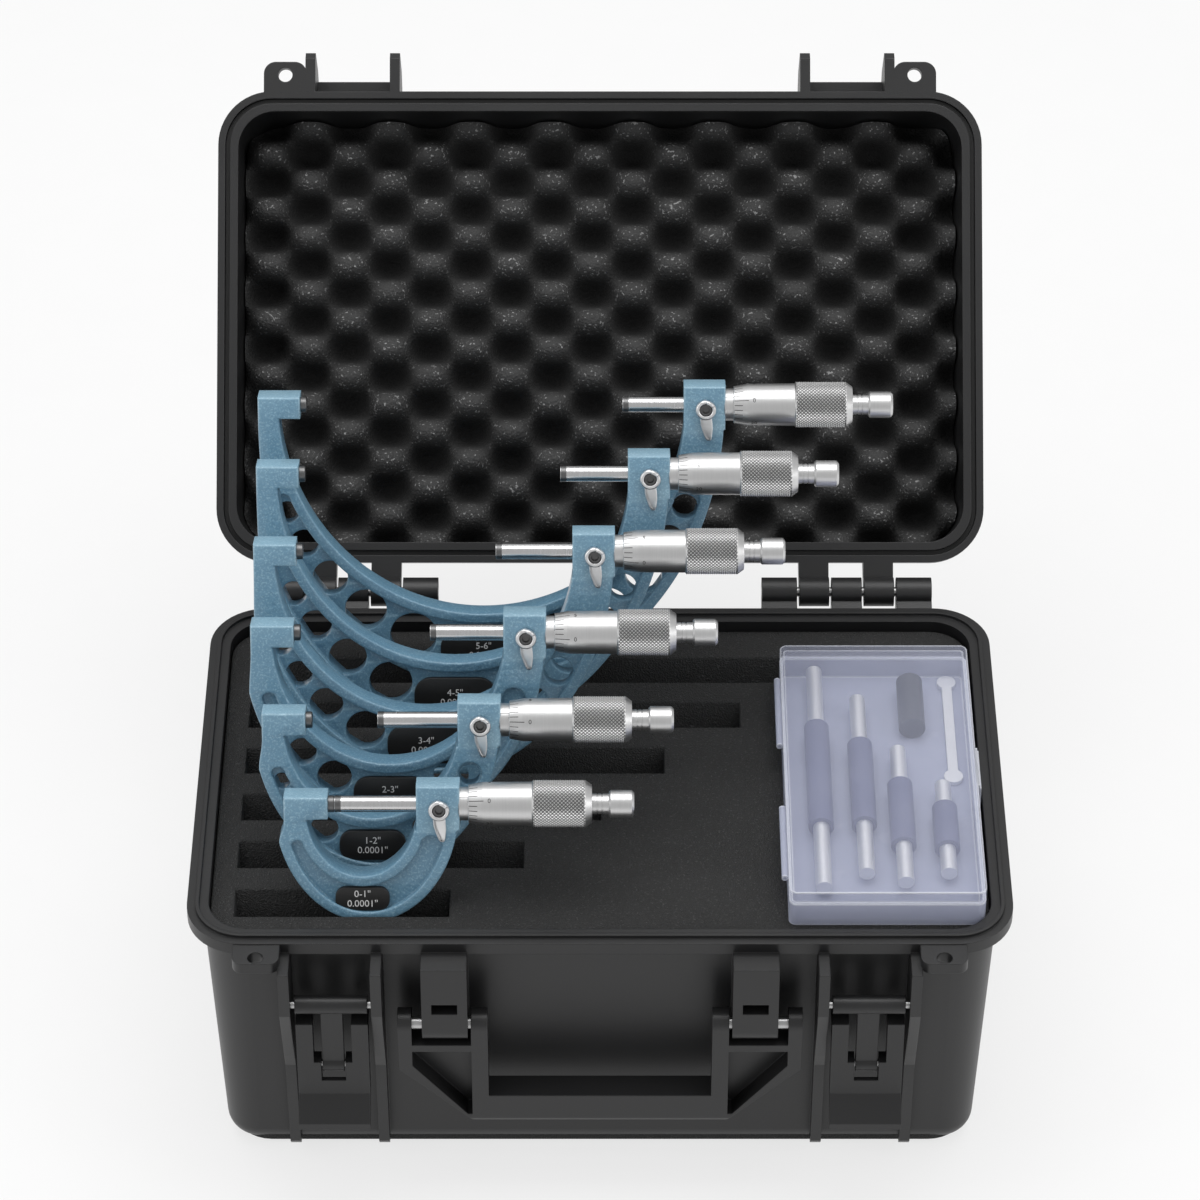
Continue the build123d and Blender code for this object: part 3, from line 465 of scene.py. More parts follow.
# %% Put the finishes on
finishes = {
    "case_plastic": case_plastic,
    "seal_rubber": seal_rubber,
    "pin_steel": pin_steel,
    "plate_black": plate_black,
    "lid_foam": lid_foam_black,
    "case_foam": case_foam,
    "frame_paint": frame_paint,
    "satin_chrome": satin_chrome,
    "bright_steel": bright_steel,
    "clear_box": tray_frost,
    "grip_blue": grip_blue,
    "capsule_dark": capsule_dark,
}
dressed = {}
for entry in frame["record"]["subparts"]:
    dressed[entry["node"]] = entry["material_slot"]
for name, solid in nodes.items():
    for slot in solid.material_slots:
        slot.material = finishes[dressed[name]]
for name in ("setting_rods", "spanner"):
    for slot in nodes[name].material_slots:
        slot.material = rod_steel
for slot in nodes["standards_cover"].material_slots:
    slot.material = cover_frost
print(len(dressed), "solids dressed")


# %% A piece from a bmesh
def finished(name, shape, finish, body, smooth=40.0):
    mesh = bpy.data.meshes.new(name)
    shape.to_mesh(mesh)
    shape.free()
    mesh.materials.append(finish)
    for face in mesh.polygons:
        face.use_smooth = True
    mesh.set_sharp_from_angle(angle=math.radians(smooth))
    piece = new_object(name, mesh)
    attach(piece, body)
    return piece


print("pieces are smooth up to 40 degrees")

# %% [markdown]
# ## Egg-crate foam in the lid
# Egg-crate foam is cut by squeezing a flat sheet between studded rollers and slicing it in half,
# which leaves rows of rounded peaks, each row shifted by half a pitch. The product of two
# cosines has just that pattern, so a fine grid is raised by it. The sheet is made for the shut
# lid, cut round at its corners, closed to the roof of the lid with sides that follow its taper,
# and swung open about the hinge.

# %% Where the lid stands
hinge = joints["lid_hinge"]
hinge_point = Vector(hinge["pos_m"])
open_angle = math.radians(hinge["range_deg"][0])
swing = (
    Matrix.Translation(hinge_point)
    @ Matrix.Rotation(open_angle, 4, "X")
    @ Matrix.Translation(-hinge_point)
)
shut = swing.inverted()
shut_points = [shut @ v.co for v in nodes["lid_foam"].data.vertices]
foam_low = Vector([min(p[i] for p in shut_points) for i in range(3)])
foam_high = Vector([max(p[i] for p in shut_points) for i in range(3)])
print("foam of the shut lid from", tuple(foam_low), "to", tuple(foam_high))

# %% Raise the peaks
pitch_x, pitch_y = 34.25 * mm, 23.7 * mm
first_x, first_y = -123.1 * mm, -88.2 * mm
peak_height = 18.0 * mm
valley = foam_low.z + 2.4 * mm


def peak_at(x, y):
    wave = math.cos(math.tau * (x - first_x) / pitch_x) * math.cos(
        math.tau * (y - first_y) / pitch_y
    )
    rise = 0.5 + 0.5 * wave
    return peak_height * rise * rise * (3 - 2 * rise)


lining = bmesh.new()
bmesh.ops.create_grid(lining, x_segments=210, y_segments=126, size=0.5)
span = foam_high - foam_low
middle = (foam_high + foam_low) / 2
bmesh.ops.scale(lining, vec=(span.x, span.y, 1.0), verts=lining.verts)
bmesh.ops.translate(lining, vec=(middle.x, middle.y, 0.0), verts=lining.verts)
corner_round = 14.0 * mm
for side_x in (-1, 1):
    for side_y in (-1, 1):
        centre = Vector(
            (
                middle.x + side_x * (span.x / 2 - corner_round),
                middle.y + side_y * (span.y / 2 - corner_round),
                0.0,
            )
        )
        for step in range(1, 6):
            turn = math.radians(90.0 * step / 6)
            way = Vector((side_x * math.cos(turn), side_y * math.sin(turn), 0.0))
            bmesh.ops.bisect_plane(
                lining,
                geom=lining.verts[:] + lining.edges[:] + lining.faces[:],
                plane_co=centre + way * corner_round,
                plane_no=way,
                clear_outer=True,
            )
# The height of each point is kept as "peak" for the lid foam's painted shade in the valleys.
raised = lining.verts.layers.float.new("peak")
for vert in lining.verts:
    rise = peak_at(vert.co.x, vert.co.y)
    vert[raised] = rise / peak_height
    vert.co.z = valley - rise
rim = [edge for edge in lining.edges if edge.is_boundary]
chamfer = 6.72 * mm
side_height = span.z - chamfer
drawn_in = side_height * math.tan(draft) + 0.1 * mm
for height, inset in ((side_height, drawn_in), (span.z, chamfer)):
    walls = bmesh.ops.extrude_edge_only(lining, edges=rim)["geom"]
    top = [item for item in walls if isinstance(item, bmesh.types.BMVert)]
    for vert in top:
        vert.co.x -= (vert.co.x - middle.x) * 2 * inset / span.x
        vert.co.y -= (vert.co.y - middle.y) * 2 * inset / span.y
        vert.co.z = foam_low.z + height
    rim = [edge for edge in lining.edges if edge.is_boundary]
bmesh.ops.contextual_create(lining, geom=[e for e in lining.edges if e.is_boundary])
bmesh.ops.recalc_face_normals(lining, faces=lining.faces)
bmesh.ops.transform(lining, matrix=swing, verts=lining.verts)
egg_crate = finished("lid_egg_crate", lining, lid_foam_black, "lid", 80.0)
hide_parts("lid_foam")
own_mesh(egg_crate)
print("lid foam has", len(egg_crate.data.polygons), "faces")

# %% [markdown]
# ## Slotted foam in the base
# The insert is a block of firm foam with a slot cut for each bow. It starts as its own outline,
# a plane is cut along the sides of every slot, the pieces that lie in a slot are pushed down,
# and the upper edges are rounded a little, because a knife never leaves foam quite sharp.

# %% Cut the slots
insert_low, insert_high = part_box("foam_insert")
down_slope = Vector(joints["micrometer_1_lift"]["axis"])
lean = math.atan2(-down_slope.y, -down_slope.z)
frame_depths = [47.0, 62.0, 79.0, 94.0, 108.0, 119.0]
above_slot_floor = 27.2
slot_left = -142.0
slot_rights = [-58.5, -30.0, 0.4, 25.7, 56.7, 86.0]
slot_depths = [round(depth - above_slot_floor, 1) for depth in frame_depths]
slot_half = 7.0 / math.cos(lean)
row_first, row_pitch = -71.0, 27.4
rows = [row_first + row_pitch * number for number in range(6)]
cells = []
for row, right, depth in zip(rows, slot_rights, slot_depths):
    near, far = row - slot_half, row + slot_half
    cells.append((slot_left * mm, right * mm, near * mm, far * mm, depth * mm))
print("slots lean back", round(math.degrees(lean), 1), "degrees")

# %% Push them down
block = bmesh.new()
bmesh.ops.create_grid(block, x_segments=1, y_segments=1, size=0.5)
size = Vector(insert_high) - Vector(insert_low)
centre = (Vector(insert_high) + Vector(insert_low)) / 2
bmesh.ops.scale(block, vec=(size.x, size.y, 1.0), verts=block.verts)
bmesh.ops.translate(block, vec=(centre.x, centre.y, insert_high[2]), verts=block.verts)
bmesh.ops.bevel(
    block,
    geom=block.verts[:],
    offset=15.6 * mm,
    segments=8,
    profile=0.5,
    affect="VERTICES",
    material=-1,
)
lines = {("x", x) for c in cells for x in c[:2]} | {("y", y) for c in cells for y in c[2:4]}
for way, at in sorted(lines):
    point = (at, 0, 0) if way == "x" else (0, at, 0)
    normal = (1, 0, 0) if way == "x" else (0, 1, 0)
    bmesh.ops.bisect_plane(
        block,
        geom=block.verts[:] + block.edges[:] + block.faces[:],
        plane_co=point,
        plane_no=normal,
    )
for x0, x1, y0, y1, depth in cells:
    inside = [
        face
        for face in block.faces
        if x0 < face.calc_center_median().x < x1
        and y0 < face.calc_center_median().y < y1
        and face.calc_center_median().z > insert_high[2] - 1 * mm
    ]
    pushed = bmesh.ops.extrude_face_region(block, geom=inside)["geom"]
    bmesh.ops.delete(block, geom=inside, context="FACES")
    low = [item for item in pushed if isinstance(item, bmesh.types.BMVert)]
    bmesh.ops.translate(block, vec=down_slope * depth, verts=low)
outer = [edge for edge in block.edges if edge.is_boundary]
skirt = bmesh.ops.extrude_edge_only(block, edges=outer)["geom"]
feet = [item for item in skirt if isinstance(item, bmesh.types.BMVert)]
narrow = 1 - 2 * math.tan(draft) * size.z / size.x
bmesh.ops.translate(block, vec=(0, 0, -size.z), verts=feet)
bmesh.ops.scale(block, vec=(narrow, narrow, 1), verts=feet, space=Matrix.Translation(-centre))
bmesh.ops.contextual_create(block, geom=[e for e in block.edges if e.is_boundary])
bmesh.ops.dissolve_limit(
    block, angle_limit=math.radians(1), verts=block.verts, edges=block.edges
)
bmesh.ops.recalc_face_normals(block, faces=block.faces)
lips = [
    edge
    for edge in block.edges
    if all(v.co.z > insert_high[2] - 0.1 * mm for v in edge.verts)
    and edge.is_manifold
    and edge.calc_face_angle() > 1.0
]
bmesh.ops.bevel(
    block, geom=lips, offset=0.9 * mm, segments=3, profile=0.5, affect="EDGES", material=-1
)
slotted = finished("slotted_foam", block, case_foam, "base", 40.0)
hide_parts("foam_insert")
print("slotted foam has", len(slotted.data.polygons), "faces")

# %% [markdown]
# ## Where each micrometer stands
# Six micrometers of one family differ only in the width and depth of their bows. Each gets a
# drawing board of its own: a matrix whose X runs along the spindle from the left edge of the
# bow, whose Y runs up the leaning bow and whose Z points out of its face. Every piece is drawn
# in millimetres on the board and then sent to its place in one step.

# %% Drawing boards
frame_widths = [71.0, 96.0, 119.0, 146.0, 168.0, 191.0]
bow_bottoms = [19.0, 23.0, 26.0, 28.0, 30.0, 32.0]
upward = -down_slope
outface = Vector((1.0, 0.0, 0.0)).cross(upward)
boards = []
for number in range(6):
    low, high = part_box("micrometer_%d_thimble" % (number + 1))
    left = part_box("micrometer_%d_frame" % (number + 1))[0][0]
    board = Matrix.Identity(4)
    for column, way in enumerate((Vector((1.0, 0.0, 0.0)), upward, outface)):
        board.col[column][0:3] = way * mm
    board.col[3][0:3] = (left, (low[1] + high[1]) / 2, (low[2] + high[2]) / 2)
    boards.append(board)
    print("board", number + 1, [round(v, 4) for v in board.col[3][0:3]])


# %% Tools for the board
def on_board(shape, board):
    bmesh.ops.remove_doubles(shape, verts=shape.verts, dist=0.0001)
    bmesh.ops.recalc_face_normals(shape, faces=shape.faces)
    bmesh.ops.transform(shape, matrix=board, verts=shape.verts)
    return shape


def add_mesh(shape, mesh, matrix=None):
    start = len(shape.verts)
    shape.from_mesh(mesh)
    shape.verts.ensure_lookup_table()
    if matrix is not None:
        bmesh.ops.transform(shape, matrix=matrix, verts=shape.verts[start:])
    bpy.data.meshes.remove(mesh)
    return shape.verts[start:]


def sheet_of(outlines, thick, edge, rounds=2):
    sketch = bpy.data.curves.new("outline", "CURVE")
    sketch.dimensions = "2D"
    sketch.fill_mode = "BOTH"
    sketch.extrude = thick / 2 - edge
    sketch.bevel_depth = edge
    sketch.bevel_resolution = rounds
    sketch.offset = -edge
    for outline in outlines:
        spline = sketch.splines.new("POLY")
        spline.points.add(len(outline) - 1)
        for point, (x, y) in zip(spline.points, outline):
            point.co = (x, y, 0.0, 1.0)
        spline.use_cyclic_u = True
    holder = bpy.data.objects.new("outline", sketch)
    mesh = bpy.data.meshes.new_from_object(holder)
    bpy.data.objects.remove(holder)
    bpy.data.curves.remove(sketch)
    return mesh


def round_hole(x, y, radius, steps=40):
    turns = [-math.tau * step / steps for step in range(steps)]
    return [(x + radius * math.cos(t), y + radius * math.sin(t)) for t in turns]


def turned(profile, steps):
    shape = bmesh.new()
    points = [shape.verts.new((x, r, 0.0)) for x, r in profile]
    for one, other in zip(points, points[1:]):
        shape.edges.new((one, other))
    bmesh.ops.spin(
        shape,
        geom=shape.verts[:] + shape.edges[:],
        cent=(0, 0, 0),
        axis=(1, 0, 0),
        angle=math.tau,
        steps=steps,
        use_merge=True,
    )
    bmesh.ops.remove_doubles(shape, verts=shape.verts, dist=0.001)
    return shape


def unroll(shape, around, along, first=0.0):
    layer = shape.loops.layers.uv.new("around_and_along")
    for face in shape.faces:
        middle = face.calc_center_median()
        home = math.atan2(middle.y, middle.z)
        for loop in face.loops:
            turn = math.atan2(loop.vert.co.y, loop.vert.co.z) - home
            turn = (turn + math.pi) % math.tau - math.pi
            u = (home + turn) / math.tau * around
            loop[layer].uv = (u, (loop.vert.co.x - first) * along)


print("tools ready")

# %% [markdown]
# ## Bows
# A bow is a casting: a flat C with a thin web sunk between thick rims, pierced by round holes
# that keep it light. Two flat curves make it. The first is the outline with the crescent of the
# web left open, extruded to full thickness with a rounded edge. The second is the web itself,
# slightly larger than the crescent so that it sits in the rims, with its holes left open.


# %% Outline of a bow
def ellipse_arc(cx, half_x, half_y, start, end, steps):
    turns = [math.radians(start + (end - start) * k / steps) for k in range(steps + 1)]
    return [(cx + half_x * math.cos(t), half_y * math.sin(t)) for t in turns]


arm, hub = 12.0, 16.0
hub_high, head_high = 9.0, 4.5
head_start, head_end, head_low = 3.6, 20.5, -6.0
swell = 0.30
rim_wide = 4.2
bow_thick = 12.0


def bow_outline(width, depth, bottom):
    inner = (width - arm - hub) / 2
    inner_deep = depth - bottom
    cut = math.degrees(math.asin(head_high / inner_deep))
    hub_cut = math.degrees(math.asin(hub_high / inner_deep))
    out_cut = math.degrees(math.asin(hub_high / depth))
    bulge = 180 + math.degrees(math.asin(swell))
    points = [(head_start, head_high), (head_start, head_low)]
    swell_x = width / 2 * (1 - math.cos(math.asin(swell)))
    for k in range(1, 9):
        t = k / 9
        ease = t * t * (3 - 2 * t)
        x = head_start + (swell_x - head_start) * ease
        points.append((x, head_low + (-swell * depth - head_low) * t))
    points += ellipse_arc(width / 2, width / 2, depth, bulge, 360 - out_cut, 90)
    points += [(width - 0.9, -hub_high), (width + 0.4, -hub_high), (width + 0.4, hub_high)]
    points += [(width - hub - 0.4, hub_high), (width - hub - 0.4, -hub_high)]
    inside = ellipse_arc(arm + inner, inner, inner_deep, 360 - hub_cut, 180 + cut, 90)
    points += [(inside[0][0], -hub_high)] + inside[1:]
    points += [(arm + 0.2, -head_high), (head_end, -head_high), (head_end, head_high)]
    return points


def web_outline(width, depth, bottom, grow):
    rim = rim_wide - grow
    inner = (width - arm - hub) / 2
    out_x, out_y = width / 2 - rim, depth - rim
    in_x, in_y = inner + rim, depth - bottom + rim
    level = -0.33 * depth + grow
    out_turn = math.degrees(math.asin(-level / out_y))
    in_turn = math.degrees(math.asin(-level / in_y))
    outer = ellipse_arc(width / 2, out_x, out_y, 180 + out_turn, 360 - out_turn, 90)
    inside = ellipse_arc(arm + inner, in_x, in_y, 360 - in_turn, 180 + in_turn, 90)
    caps = []
    for one, other in ((outer[-1], inside[0]), (inside[-1], outer[0])):
        cx, half = (one[0] + other[0]) / 2, abs(one[0] - other[0]) / 2
        turns = [math.pi * k / 12 for k in range(1, 12)]
        caps.append([(cx + half * math.cos(t), level + half * math.sin(t)) for t in turns])
    return outer + caps[0] + inside + caps[1]


print("bow 1 has", len(bow_outline(71.0, 47.0, 19.0)), "points round it")


# %% Holes in the web
def web_holes(width, depth, bottom, plate_long):
    inner = (width - arm - hub) / 2
    out_x, out_y = width / 2 - rim_wide, depth - rim_wide
    in_x, in_y = inner + rim_wide, depth - bottom + rim_wide
    holes = []
    for side in (-1, 1):
        reach, gone, before = plate_long / 2 + 2.5, 0.0, None
        for step in range(0, 133):
            t = math.radians(step / 2)
            outer = Vector((width / 2 + side * out_x * math.sin(t), -out_y * math.cos(t)))
            inside = Vector((arm + inner + side * in_x * math.sin(t), -in_y * math.cos(t)))
            middle = (outer + inside) / 2
            radius = 0.43 * (outer - inside).length
            gone += (middle - before).length if before else 0.0
            before = middle
            if gone >= reach + radius and radius > 2.4:
                holes.append((middle.x, middle.y, radius))
                reach = gone + radius + 4.0
    return holes


plate_sizes = [(21.0, 9.6), (26.0, 12.4), (29.0, 14.4)]
plate_sizes += [(31.0, 15.6), (33.0, 16.6), (35.0, 17.6)]
bow_sizes = list(zip(frame_widths, frame_depths, bow_bottoms))
holes_of = [[]] + [
    web_holes(*bow_sizes[k], plate_sizes[k][0]) for k in range(1, 6)
]
print("holes in the webs:", [len(holes) for holes in holes_of])

# %% Cast the bows
web_thick = 6.8
for number, (size, board) in enumerate(zip(bow_sizes, boards), 1):
    casting = bmesh.new()
    crescent = web_outline(*size, 0.0)[::-1]
    add_mesh(casting, sheet_of([bow_outline(*size), crescent], bow_thick, 0.8))
    web = [web_outline(*size, 0.9)]
    web += [round_hole(*hole) for hole in holes_of[number - 1]]
    add_mesh(casting, sheet_of(web, web_thick, 0.45))
    bow_piece = finished(
        "bow_%d" % number, on_board(casting, board), frame_paint,
        "micrometer_%d" % number, 50.0,
    )
    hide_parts("micrometer_%d_frame" % number)
    print("bow", number, "has", len(bow_piece.data.polygons), "faces")

# %% [markdown]
# ## Plates and their numbers
# An insulating plate sits in the middle of each web, so that the warmth of a hand doesn't reach
# the iron. It carries the range and the smallest division in white. The plate is a pill-shaped
# flat curve. The numbers are text made into a mesh and laid on the plate's face.


# %% Numbers as a mesh
def letters(words, size, depth=0.04):
    text = bpy.data.curves.new("numbers", "FONT")
    text.body = words
    text.size = size
    text.align_x = "CENTER"
    text.align_y = "CENTER"
    text.extrude = depth
    text.resolution_u = 4
    holder = bpy.data.objects.new("numbers", text)
    mesh = bpy.data.meshes.new_from_object(holder)
    bpy.data.objects.remove(holder)
    bpy.data.curves.remove(text)
    return mesh


white = Finish("number_white")
chalk = white.noise(900.0)
number_white = white.coat_with(
    Base_Color=white.mix(chalk, grey(0.62), grey(0.80)),
    Roughness=0.45 + 0.15 * chalk,
    Normal=white.bump(chalk, 0.00001),
)
ink = Finish("number_ink")
smudge = ink.noise(900.0)
number_ink = ink.coat_with(
    Base_Color=ink.mix(smudge, grey(0.010), grey(0.035)),
    Roughness=0.4 + 0.2 * smudge,
    Normal=ink.bump(smudge, 0.00001),
)


# %% Plates
def pill(long, high):
    radius = high * 0.42
    points = []
    for cx, cy, start in (
        (1, -1, -90), (1, 1, 0), (-1, 1, 90), (-1, -1, 180),
    ):
        centre = (cx * (long / 2 - radius), cy * (high / 2 - radius))
        for k in range(9):
            t = math.radians(start + 90 * k / 8)
            points.append((centre[0] + radius * math.cos(t), centre[1] + radius * math.sin(t)))
    return points


ranges = ['0-1"', '1-2"', '2-3"', '3-4"', '4-5"', '5-6"']
for number, (size, board) in enumerate(zip(bow_sizes, boards), 1):
    width, depth, bottom = size
    long, high = plate_sizes[number - 1]
    centre = Matrix.Translation((arm + (width - arm - hub) / 2, -depth + bottom / 2, 0.0))
    plate = bmesh.new()
    for side in (-1, 1):
        lift = Matrix.Translation((0, 0, side * (web_thick / 2 + 0.8)))
        add_mesh(plate, sheet_of([pill(long, high)], 2.0, 0.35), centre @ lift)
    plate_piece = finished(
        "range_plate_%d" % number, on_board(plate, board), plate_black,
        "micrometer_%d" % number,
    )
    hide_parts("micrometer_%d_plates" % number)
    words = bmesh.new()
    for side, turn in ((1, 0.0), (-1, math.pi)):
        face = centre @ Matrix.Rotation(turn, 4, "Y")
        for row, line in ((2.0, ranges[number - 1]), (-2.0, '0.0001"')):
            lift = Matrix.Translation((0, row, web_thick / 2 + 1.82))
            add_mesh(words, letters(line, 3.9), face @ lift)
    bmesh.ops.transform(words, matrix=board, verts=words.verts)
    finished(
        "range_numbers_%d" % number, words, number_white,
        "micrometer_%d" % number, 20.0,
    )
print("plates and numbers in place")

# %% [markdown]
# ## Thimbles
# The thimble turns the spindle. Its bevelled front carries 25 divisions, its middle is smooth
# and its grip is knurled, which means that a wheel has pressed two sets of slanting grooves
# into it and left rows of little pyramids. Spinning one profile makes the whole body. In the
# knurled band the profile is cut fine, and every second point of the grid, as on a chessboard,
# is drawn inwards: the points left standing are the pyramids.

# %% Divisions and index lines
around_steps = 76
thimble_start = 3.7
grip_start, grip_end, grip_cuts = 28.9, 48.6, 27
divisions = 25


def scale_finish(name, marks, grooves=None):
    part = Finish(name)
    uv = part.node("ShaderNodeUVMap", {"uv_map": "around_and_along"})
    around = part.node("ShaderNodeSeparateXYZ", None, {"Vector": uv}, "X")
    along = part.node("ShaderNodeSeparateXYZ", None, {"Vector": uv}, "Y")
    line = marks(around, along)
    scratch = part.noise(1.0, 3.0, 0.6, part.stretch(part.place(), (5200.0, 90.0, 90.0)))
    smear = part.noise(60.0, 2.0)
    chrome = part.mix(scratch, grey(0.60), grey(0.72))
    if grooves:
        # Painted shade: the knurl's grooves are darkened in the colour.
        chrome = part.mix(grooves(around, along), chrome, grey(0.24))
    return part.coat_with(
        Base_Color=part.mix(line, chrome, grey(0.02)),
        Metallic=1.0 - 0.8 * line,
        Roughness=0.30 + 0.1 * scratch + 0.06 * smear,
        Normal=part.bump(scratch, 8e-6),
    )


def thimble_marks(turn, along):
    line = abs(turn % 1.0 - 0.5) > 0.43
    fifth = abs((turn / 5.0) % 1.0 - 0.5) > 0.43
    short = (along < 3.6) * (along > 0.3)
    long = (along < 6.0) * (along > 0.3)
    return line * short.sum("MAXIMUM", short, fifth * long)


# Mask of the knurl's grooves, where the colour gets painted shade.
def knurl_groove_shade(turn, along):
    across = (along + (thimble_start - grip_start)) * (grip_cuts / (grip_end - grip_start))
    round_it = turn * (around_steps / divisions)
    one = part_of_groove((across + round_it) / 2.0)
    other = part_of_groove((across - round_it) / 2.0)
    return one.sum("MAXIMUM", one, other) * (across > 0.0) * (across < float(grip_cuts))


def part_of_groove(value):
    away = abs(value % 1.0 - 0.5)
    return away.finish.ramp(away, 0.06, 0.26, 1.0, 0.0)


def sleeve_marks(turn, along):
    step = abs(((along - 4.0) / 0.635) % 1.0 - 0.5) > 0.36
    fourth = abs(((along - 4.0) / 2.54) % 1.0 - 0.5) > 0.464
    on_scale = (along > 3.7) * (along < 40.2)
    short = step * (turn > 0.0) * (turn < 15.0)
    long = fourth * (turn > 0.0) * (turn < 27.0)
    ticks = short.sum("MAXIMUM", short, long) * on_scale
    index = (abs(turn) < 1.0) * (along < 40.2)
    return ticks.sum("MAXIMUM", ticks, index)


thimble_chrome = scale_finish("thimble_chrome", thimble_marks, knurl_groove_shade)
sleeve_chrome = scale_finish("sleeve_chrome", sleeve_marks)

# %% One thimble
grip_radius, groove_depth = 9.2, 0.5
grip_length = grip_end - grip_start
grip = [
    (grip_start + grip_length * k / grip_cuts, grip_radius) for k in range(grip_cuts + 1)
]
thimble_profile = (
    [(thimble_start, 6.75), (thimble_start, 7.25), (3.9, 7.45), (9.0, 8.35), (9.2, 8.4)]
    + [(28.2, 8.5), (28.4, 8.75), (28.7, 9.1)]
    + grip
    + [(48.9, 9.1), (51.4, 7.3), (51.4, 4.0), (53.2, 4.0), (53.3, 3.75), (53.7, 3.75)]
    + [(53.8, 4.0), (55.0, 4.0), (55.1, 3.75), (55.5, 3.75), (55.6, 4.0), (57.9, 4.0)]
    + [(57.9, 4.7), (58.6, 5.3), (59.2, 5.3), (66.2, 5.3), (66.8, 5.2), (67.7, 4.3)]
    + [(67.7, 0.0)]
)
thimble = turned(thimble_profile, around_steps)
for vert in thimble.verts:
    x, r = vert.co.x, vert.co.yz.length
    place = (x - grip_start) / grip_length * grip_cuts
    turn = math.atan2(vert.co.y, vert.co.z) / math.tau * around_steps
    if -0.01 < place < grip_cuts + 0.01 and r > 9.0 and (round(place) + round(turn)) % 2:
        vert.co.yz *= 1 - groove_depth / grip_radius
bmesh.ops.triangulate(
    thimble,
    faces=[f for f in thimble.faces if grip_start < f.calc_center_median().x < grip_end],
    quad_method="SHORT_EDGE",
)
bmesh.ops.recalc_face_normals(thimble, faces=thimble.faces)
unroll(thimble, float(divisions), 1.0, thimble_start)
thimble_mesh = bpy.data.meshes.new("thimble_plan")
thimble.to_mesh(thimble_mesh)
thimble.free()
print("thimble has", len(thimble_mesh.polygons), "faces")


# %% Numbers bent round a cylinder
def bent_numbers(shape, words, size, x, turn, radius):
    verts = add_mesh(shape, letters(words, size, 0.03))
    for vert in verts:
        along, over, out = vert.co
        angle = turn + over / radius
        far = radius + out
        vert.co = (x + along, far * math.sin(angle), far * math.cos(angle))


thimble_words = bmesh.new()
for k in range(5):
    bent_numbers(
        thimble_words, str(5 * k), 2.5, thimble_start + 8.2, math.tau * k / 5, 8.45
    )
sleeve_words = bmesh.new()
for k in range(11):
    bent_numbers(
        sleeve_words, str(k % 10), 1.9, 4.0 + 2.54 * k, math.radians(-16.0), 6.5
    )
words_meshes = []
for shape in (thimble_words, sleeve_words):
    mesh = bpy.data.meshes.new("words_plan")
    shape.to_mesh(mesh)
    shape.free()
    words_meshes.append(mesh)
print("numbers on thimble and sleeve:", [len(mesh.polygons) for mesh in words_meshes])

# %% One sleeve
sleeve = turned(
    [(0.0, 3.3), (0.0, 6.2), (0.3, 6.5), (43.4, 6.5), (44.0, 6.0), (44.0, 3.3)], 96
)
bmesh.ops.recalc_face_normals(sleeve, faces=sleeve.faces)
unroll(sleeve, 360.0, 1.0)
sleeve_mesh = bpy.data.meshes.new("sleeve_plan")
sleeve.to_mesh(sleeve_mesh)
sleeve.free()
print("sleeve has", len(sleeve_mesh.polygons), "faces")

# %% [markdown]
# ## Lock lever
# A small lever on the hub clamps the spindle. It is a chrome ring with a leaf-shaped tail, held
# by a dark screw with a round recess. The ring and the screw are spun profiles, and the tail is
# a flat curve with a rounded edge.

# %% One lock
ring_profile = [(0.0, 2.6), (0.0, 4.0), (1.9, 4.15), (2.5, 3.7), (2.6, 3.1), (2.2, 2.6)]
lock_ring = turned(ring_profile + ring_profile[:1], 40)
stand_up = Matrix.Rotation(-math.pi / 2, 4, "Y")
bmesh.ops.transform(lock_ring, matrix=stand_up, verts=lock_ring.verts)
leaf = [(-2.5, -2.7), (-2.3, -4.2), (-2.2, -6.0), (-1.7, -8.0), (-0.5, -11.2), (0.1, -12.5)]
leaf += [(0.7, -12.9), (1.7, -12.9), (2.2, -12.5), (2.5, -11.2), (2.8, -8.0), (2.7, -6.0)]
leaf += [(2.5, -4.2), (2.5, -2.7)]
lever_tail = sheet_of([leaf[::-1]], 1.8, 0.45, 3)
add_mesh(lock_ring, lever_tail, Matrix.Translation((0, 0, 0.95)))
lock_mesh = bpy.data.meshes.new("lock_plan")
lock_ring.to_mesh(lock_mesh)
lock_ring.free()
screw_profile = [(0.2, 2.65), (1.5, 2.65), (1.9, 2.2), (1.9, 1.5), (0.9, 1.3), (0.9, 0.0)]
lock_screw = turned(screw_profile, 24)
bmesh.ops.transform(lock_screw, matrix=stand_up, verts=lock_screw.verts)
screw_mesh = bpy.data.meshes.new("screw_plan")
lock_screw.to_mesh(screw_mesh)
lock_screw.free()
screw_black = metal("screw_black", 0.10, 0.16, 0.28, (300.0, 300.0, 300.0), 0.0002, 6e-6)
carbide = metal("carbide_tip", 0.13, 0.20, 0.30, (3200.0, 90.0, 90.0), 0.0002, 6e-6)


# %% Set them on the boards
def copy_on(name, plan, matrix, finish, body, smooth=40.0):
    shape = bmesh.new()
    shape.from_mesh(plan)
    bmesh.ops.recalc_face_normals(shape, faces=shape.faces)
    bmesh.ops.transform(shape, matrix=matrix, verts=shape.verts)
    return finished(name, shape, finish, body, smooth)


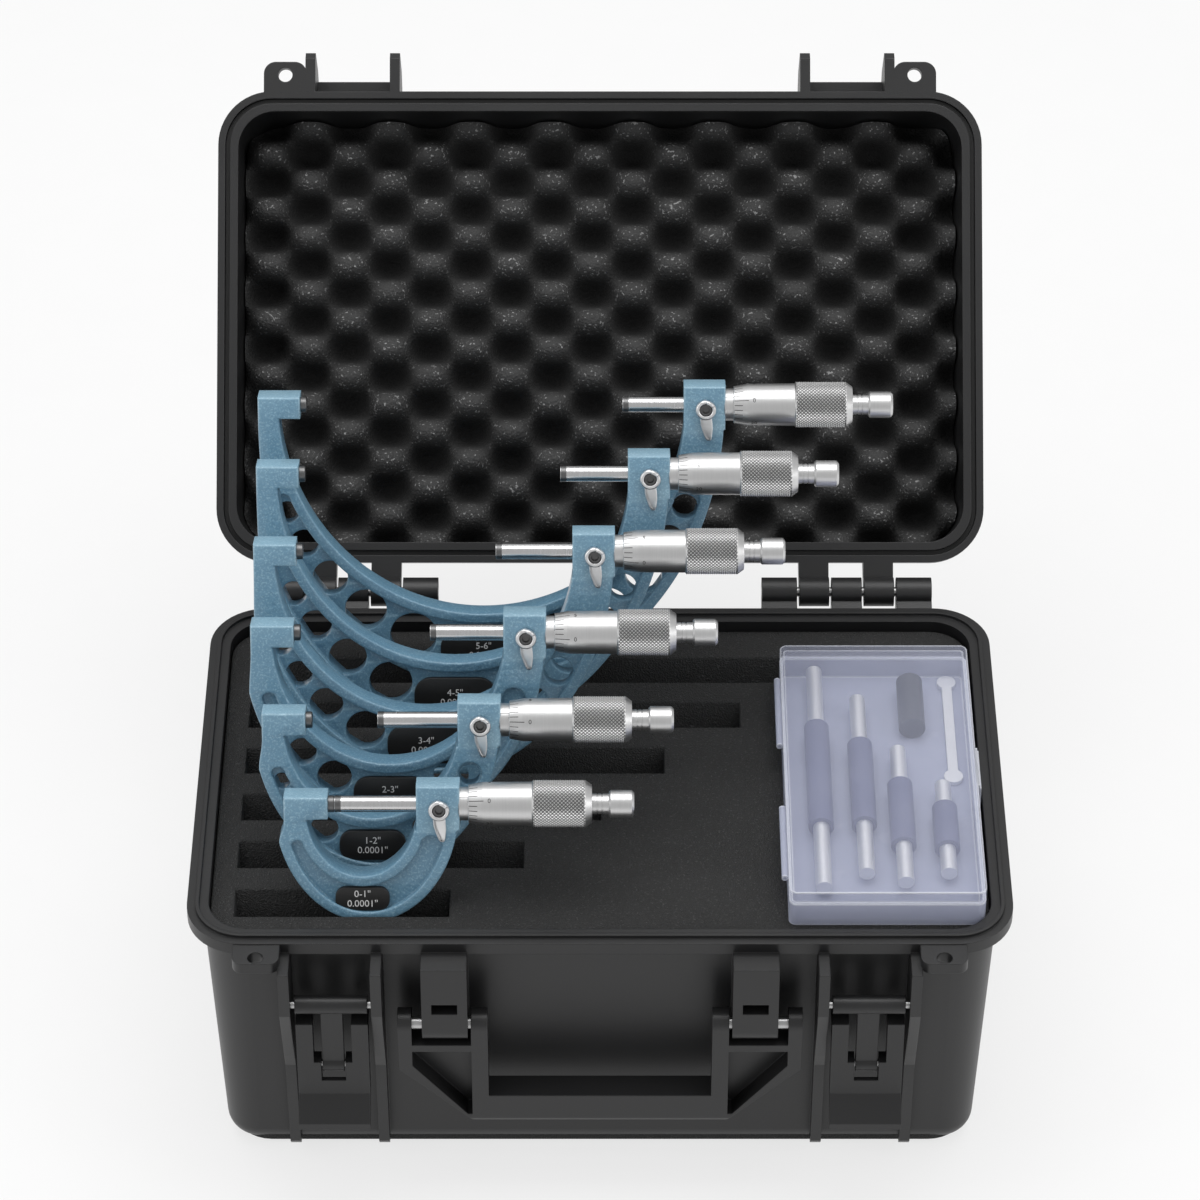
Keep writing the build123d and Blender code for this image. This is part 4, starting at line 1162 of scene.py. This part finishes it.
scale_turn = math.radians(42.0)
lock_from_hub, lock_out = 7.5, 6.3
anvil_face = 23.0
sunk = 0.02
for number, board in enumerate(boards, 1):
    tag = "micrometer_%d" % number
    width = frame_widths[number - 1]
    at_hub = board @ Matrix.Translation((width, 0, 0))
    scaled = at_hub @ Matrix.Rotation(-scale_turn, 4, "X")
    read_turn = math.tau / divisions * (number % 5)
    reading = at_hub @ Matrix.Rotation(-scale_turn + read_turn, 4, "X")
    body = copy_on("thimble_%d" % number, thimble_mesh, reading, thimble_chrome,
                   tag + "_thimble", 30.0)
    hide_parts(tag + "_thimble")
    copy_on("thimble_numbers_%d" % number, words_meshes[0], reading, number_ink,
            tag + "_thimble", 20.0)
    barrel = copy_on("sleeve_%d" % number, sleeve_mesh, scaled, sleeve_chrome,
                     tag, 30.0)
    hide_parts(tag + "_sleeve")
    copy_on("sleeve_numbers_%d" % number, words_meshes[1], scaled, number_ink,
            tag, 20.0)
    at_lock = board @ Matrix.Translation((width - lock_from_hub, 0, lock_out))
    ring = copy_on("lock_lever_%d" % number, lock_mesh, at_lock, lever_chrome,
                   tag + "_lock", 50.0)
    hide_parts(tag + "_lock")
    copy_on("lock_screw_%d" % number, screw_mesh, at_lock, screw_black,
            tag + "_lock", 30.0)
print("thimbles, sleeves and locks are on their boards")

# %% Carbide tips
tip = turned([(0.0, 0.0), (0.0, 3.0), (0.25, 3.25), (2.4, 3.25), (2.5, 3.1), (2.8, 3.1)], 48)
tip_mesh = bpy.data.meshes.new("tip_plan")
tip.to_mesh(tip_mesh)
tip.free()
for number, board in enumerate(boards, 1):
    tag = "micrometer_%d" % number
    face = (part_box(tag + "_spindle")[0][0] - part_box(tag + "_frame")[0][0]) / mm
    at_face = board @ Matrix.Translation((face - sunk, 0, 0))
    copy_on("spindle_tip_%d" % number, tip_mesh, at_face, carbide,
            tag + "_spindle")
    to_anvil = Matrix.Translation((anvil_face + sunk, 0, 0))
    at_anvil = board @ to_anvil @ Matrix.Rotation(math.pi, 4, "Z")
    copy_on("anvil_tip_%d" % number, tip_mesh, at_anvil, carbide, tag)
print("tips on both faces of each micrometer")
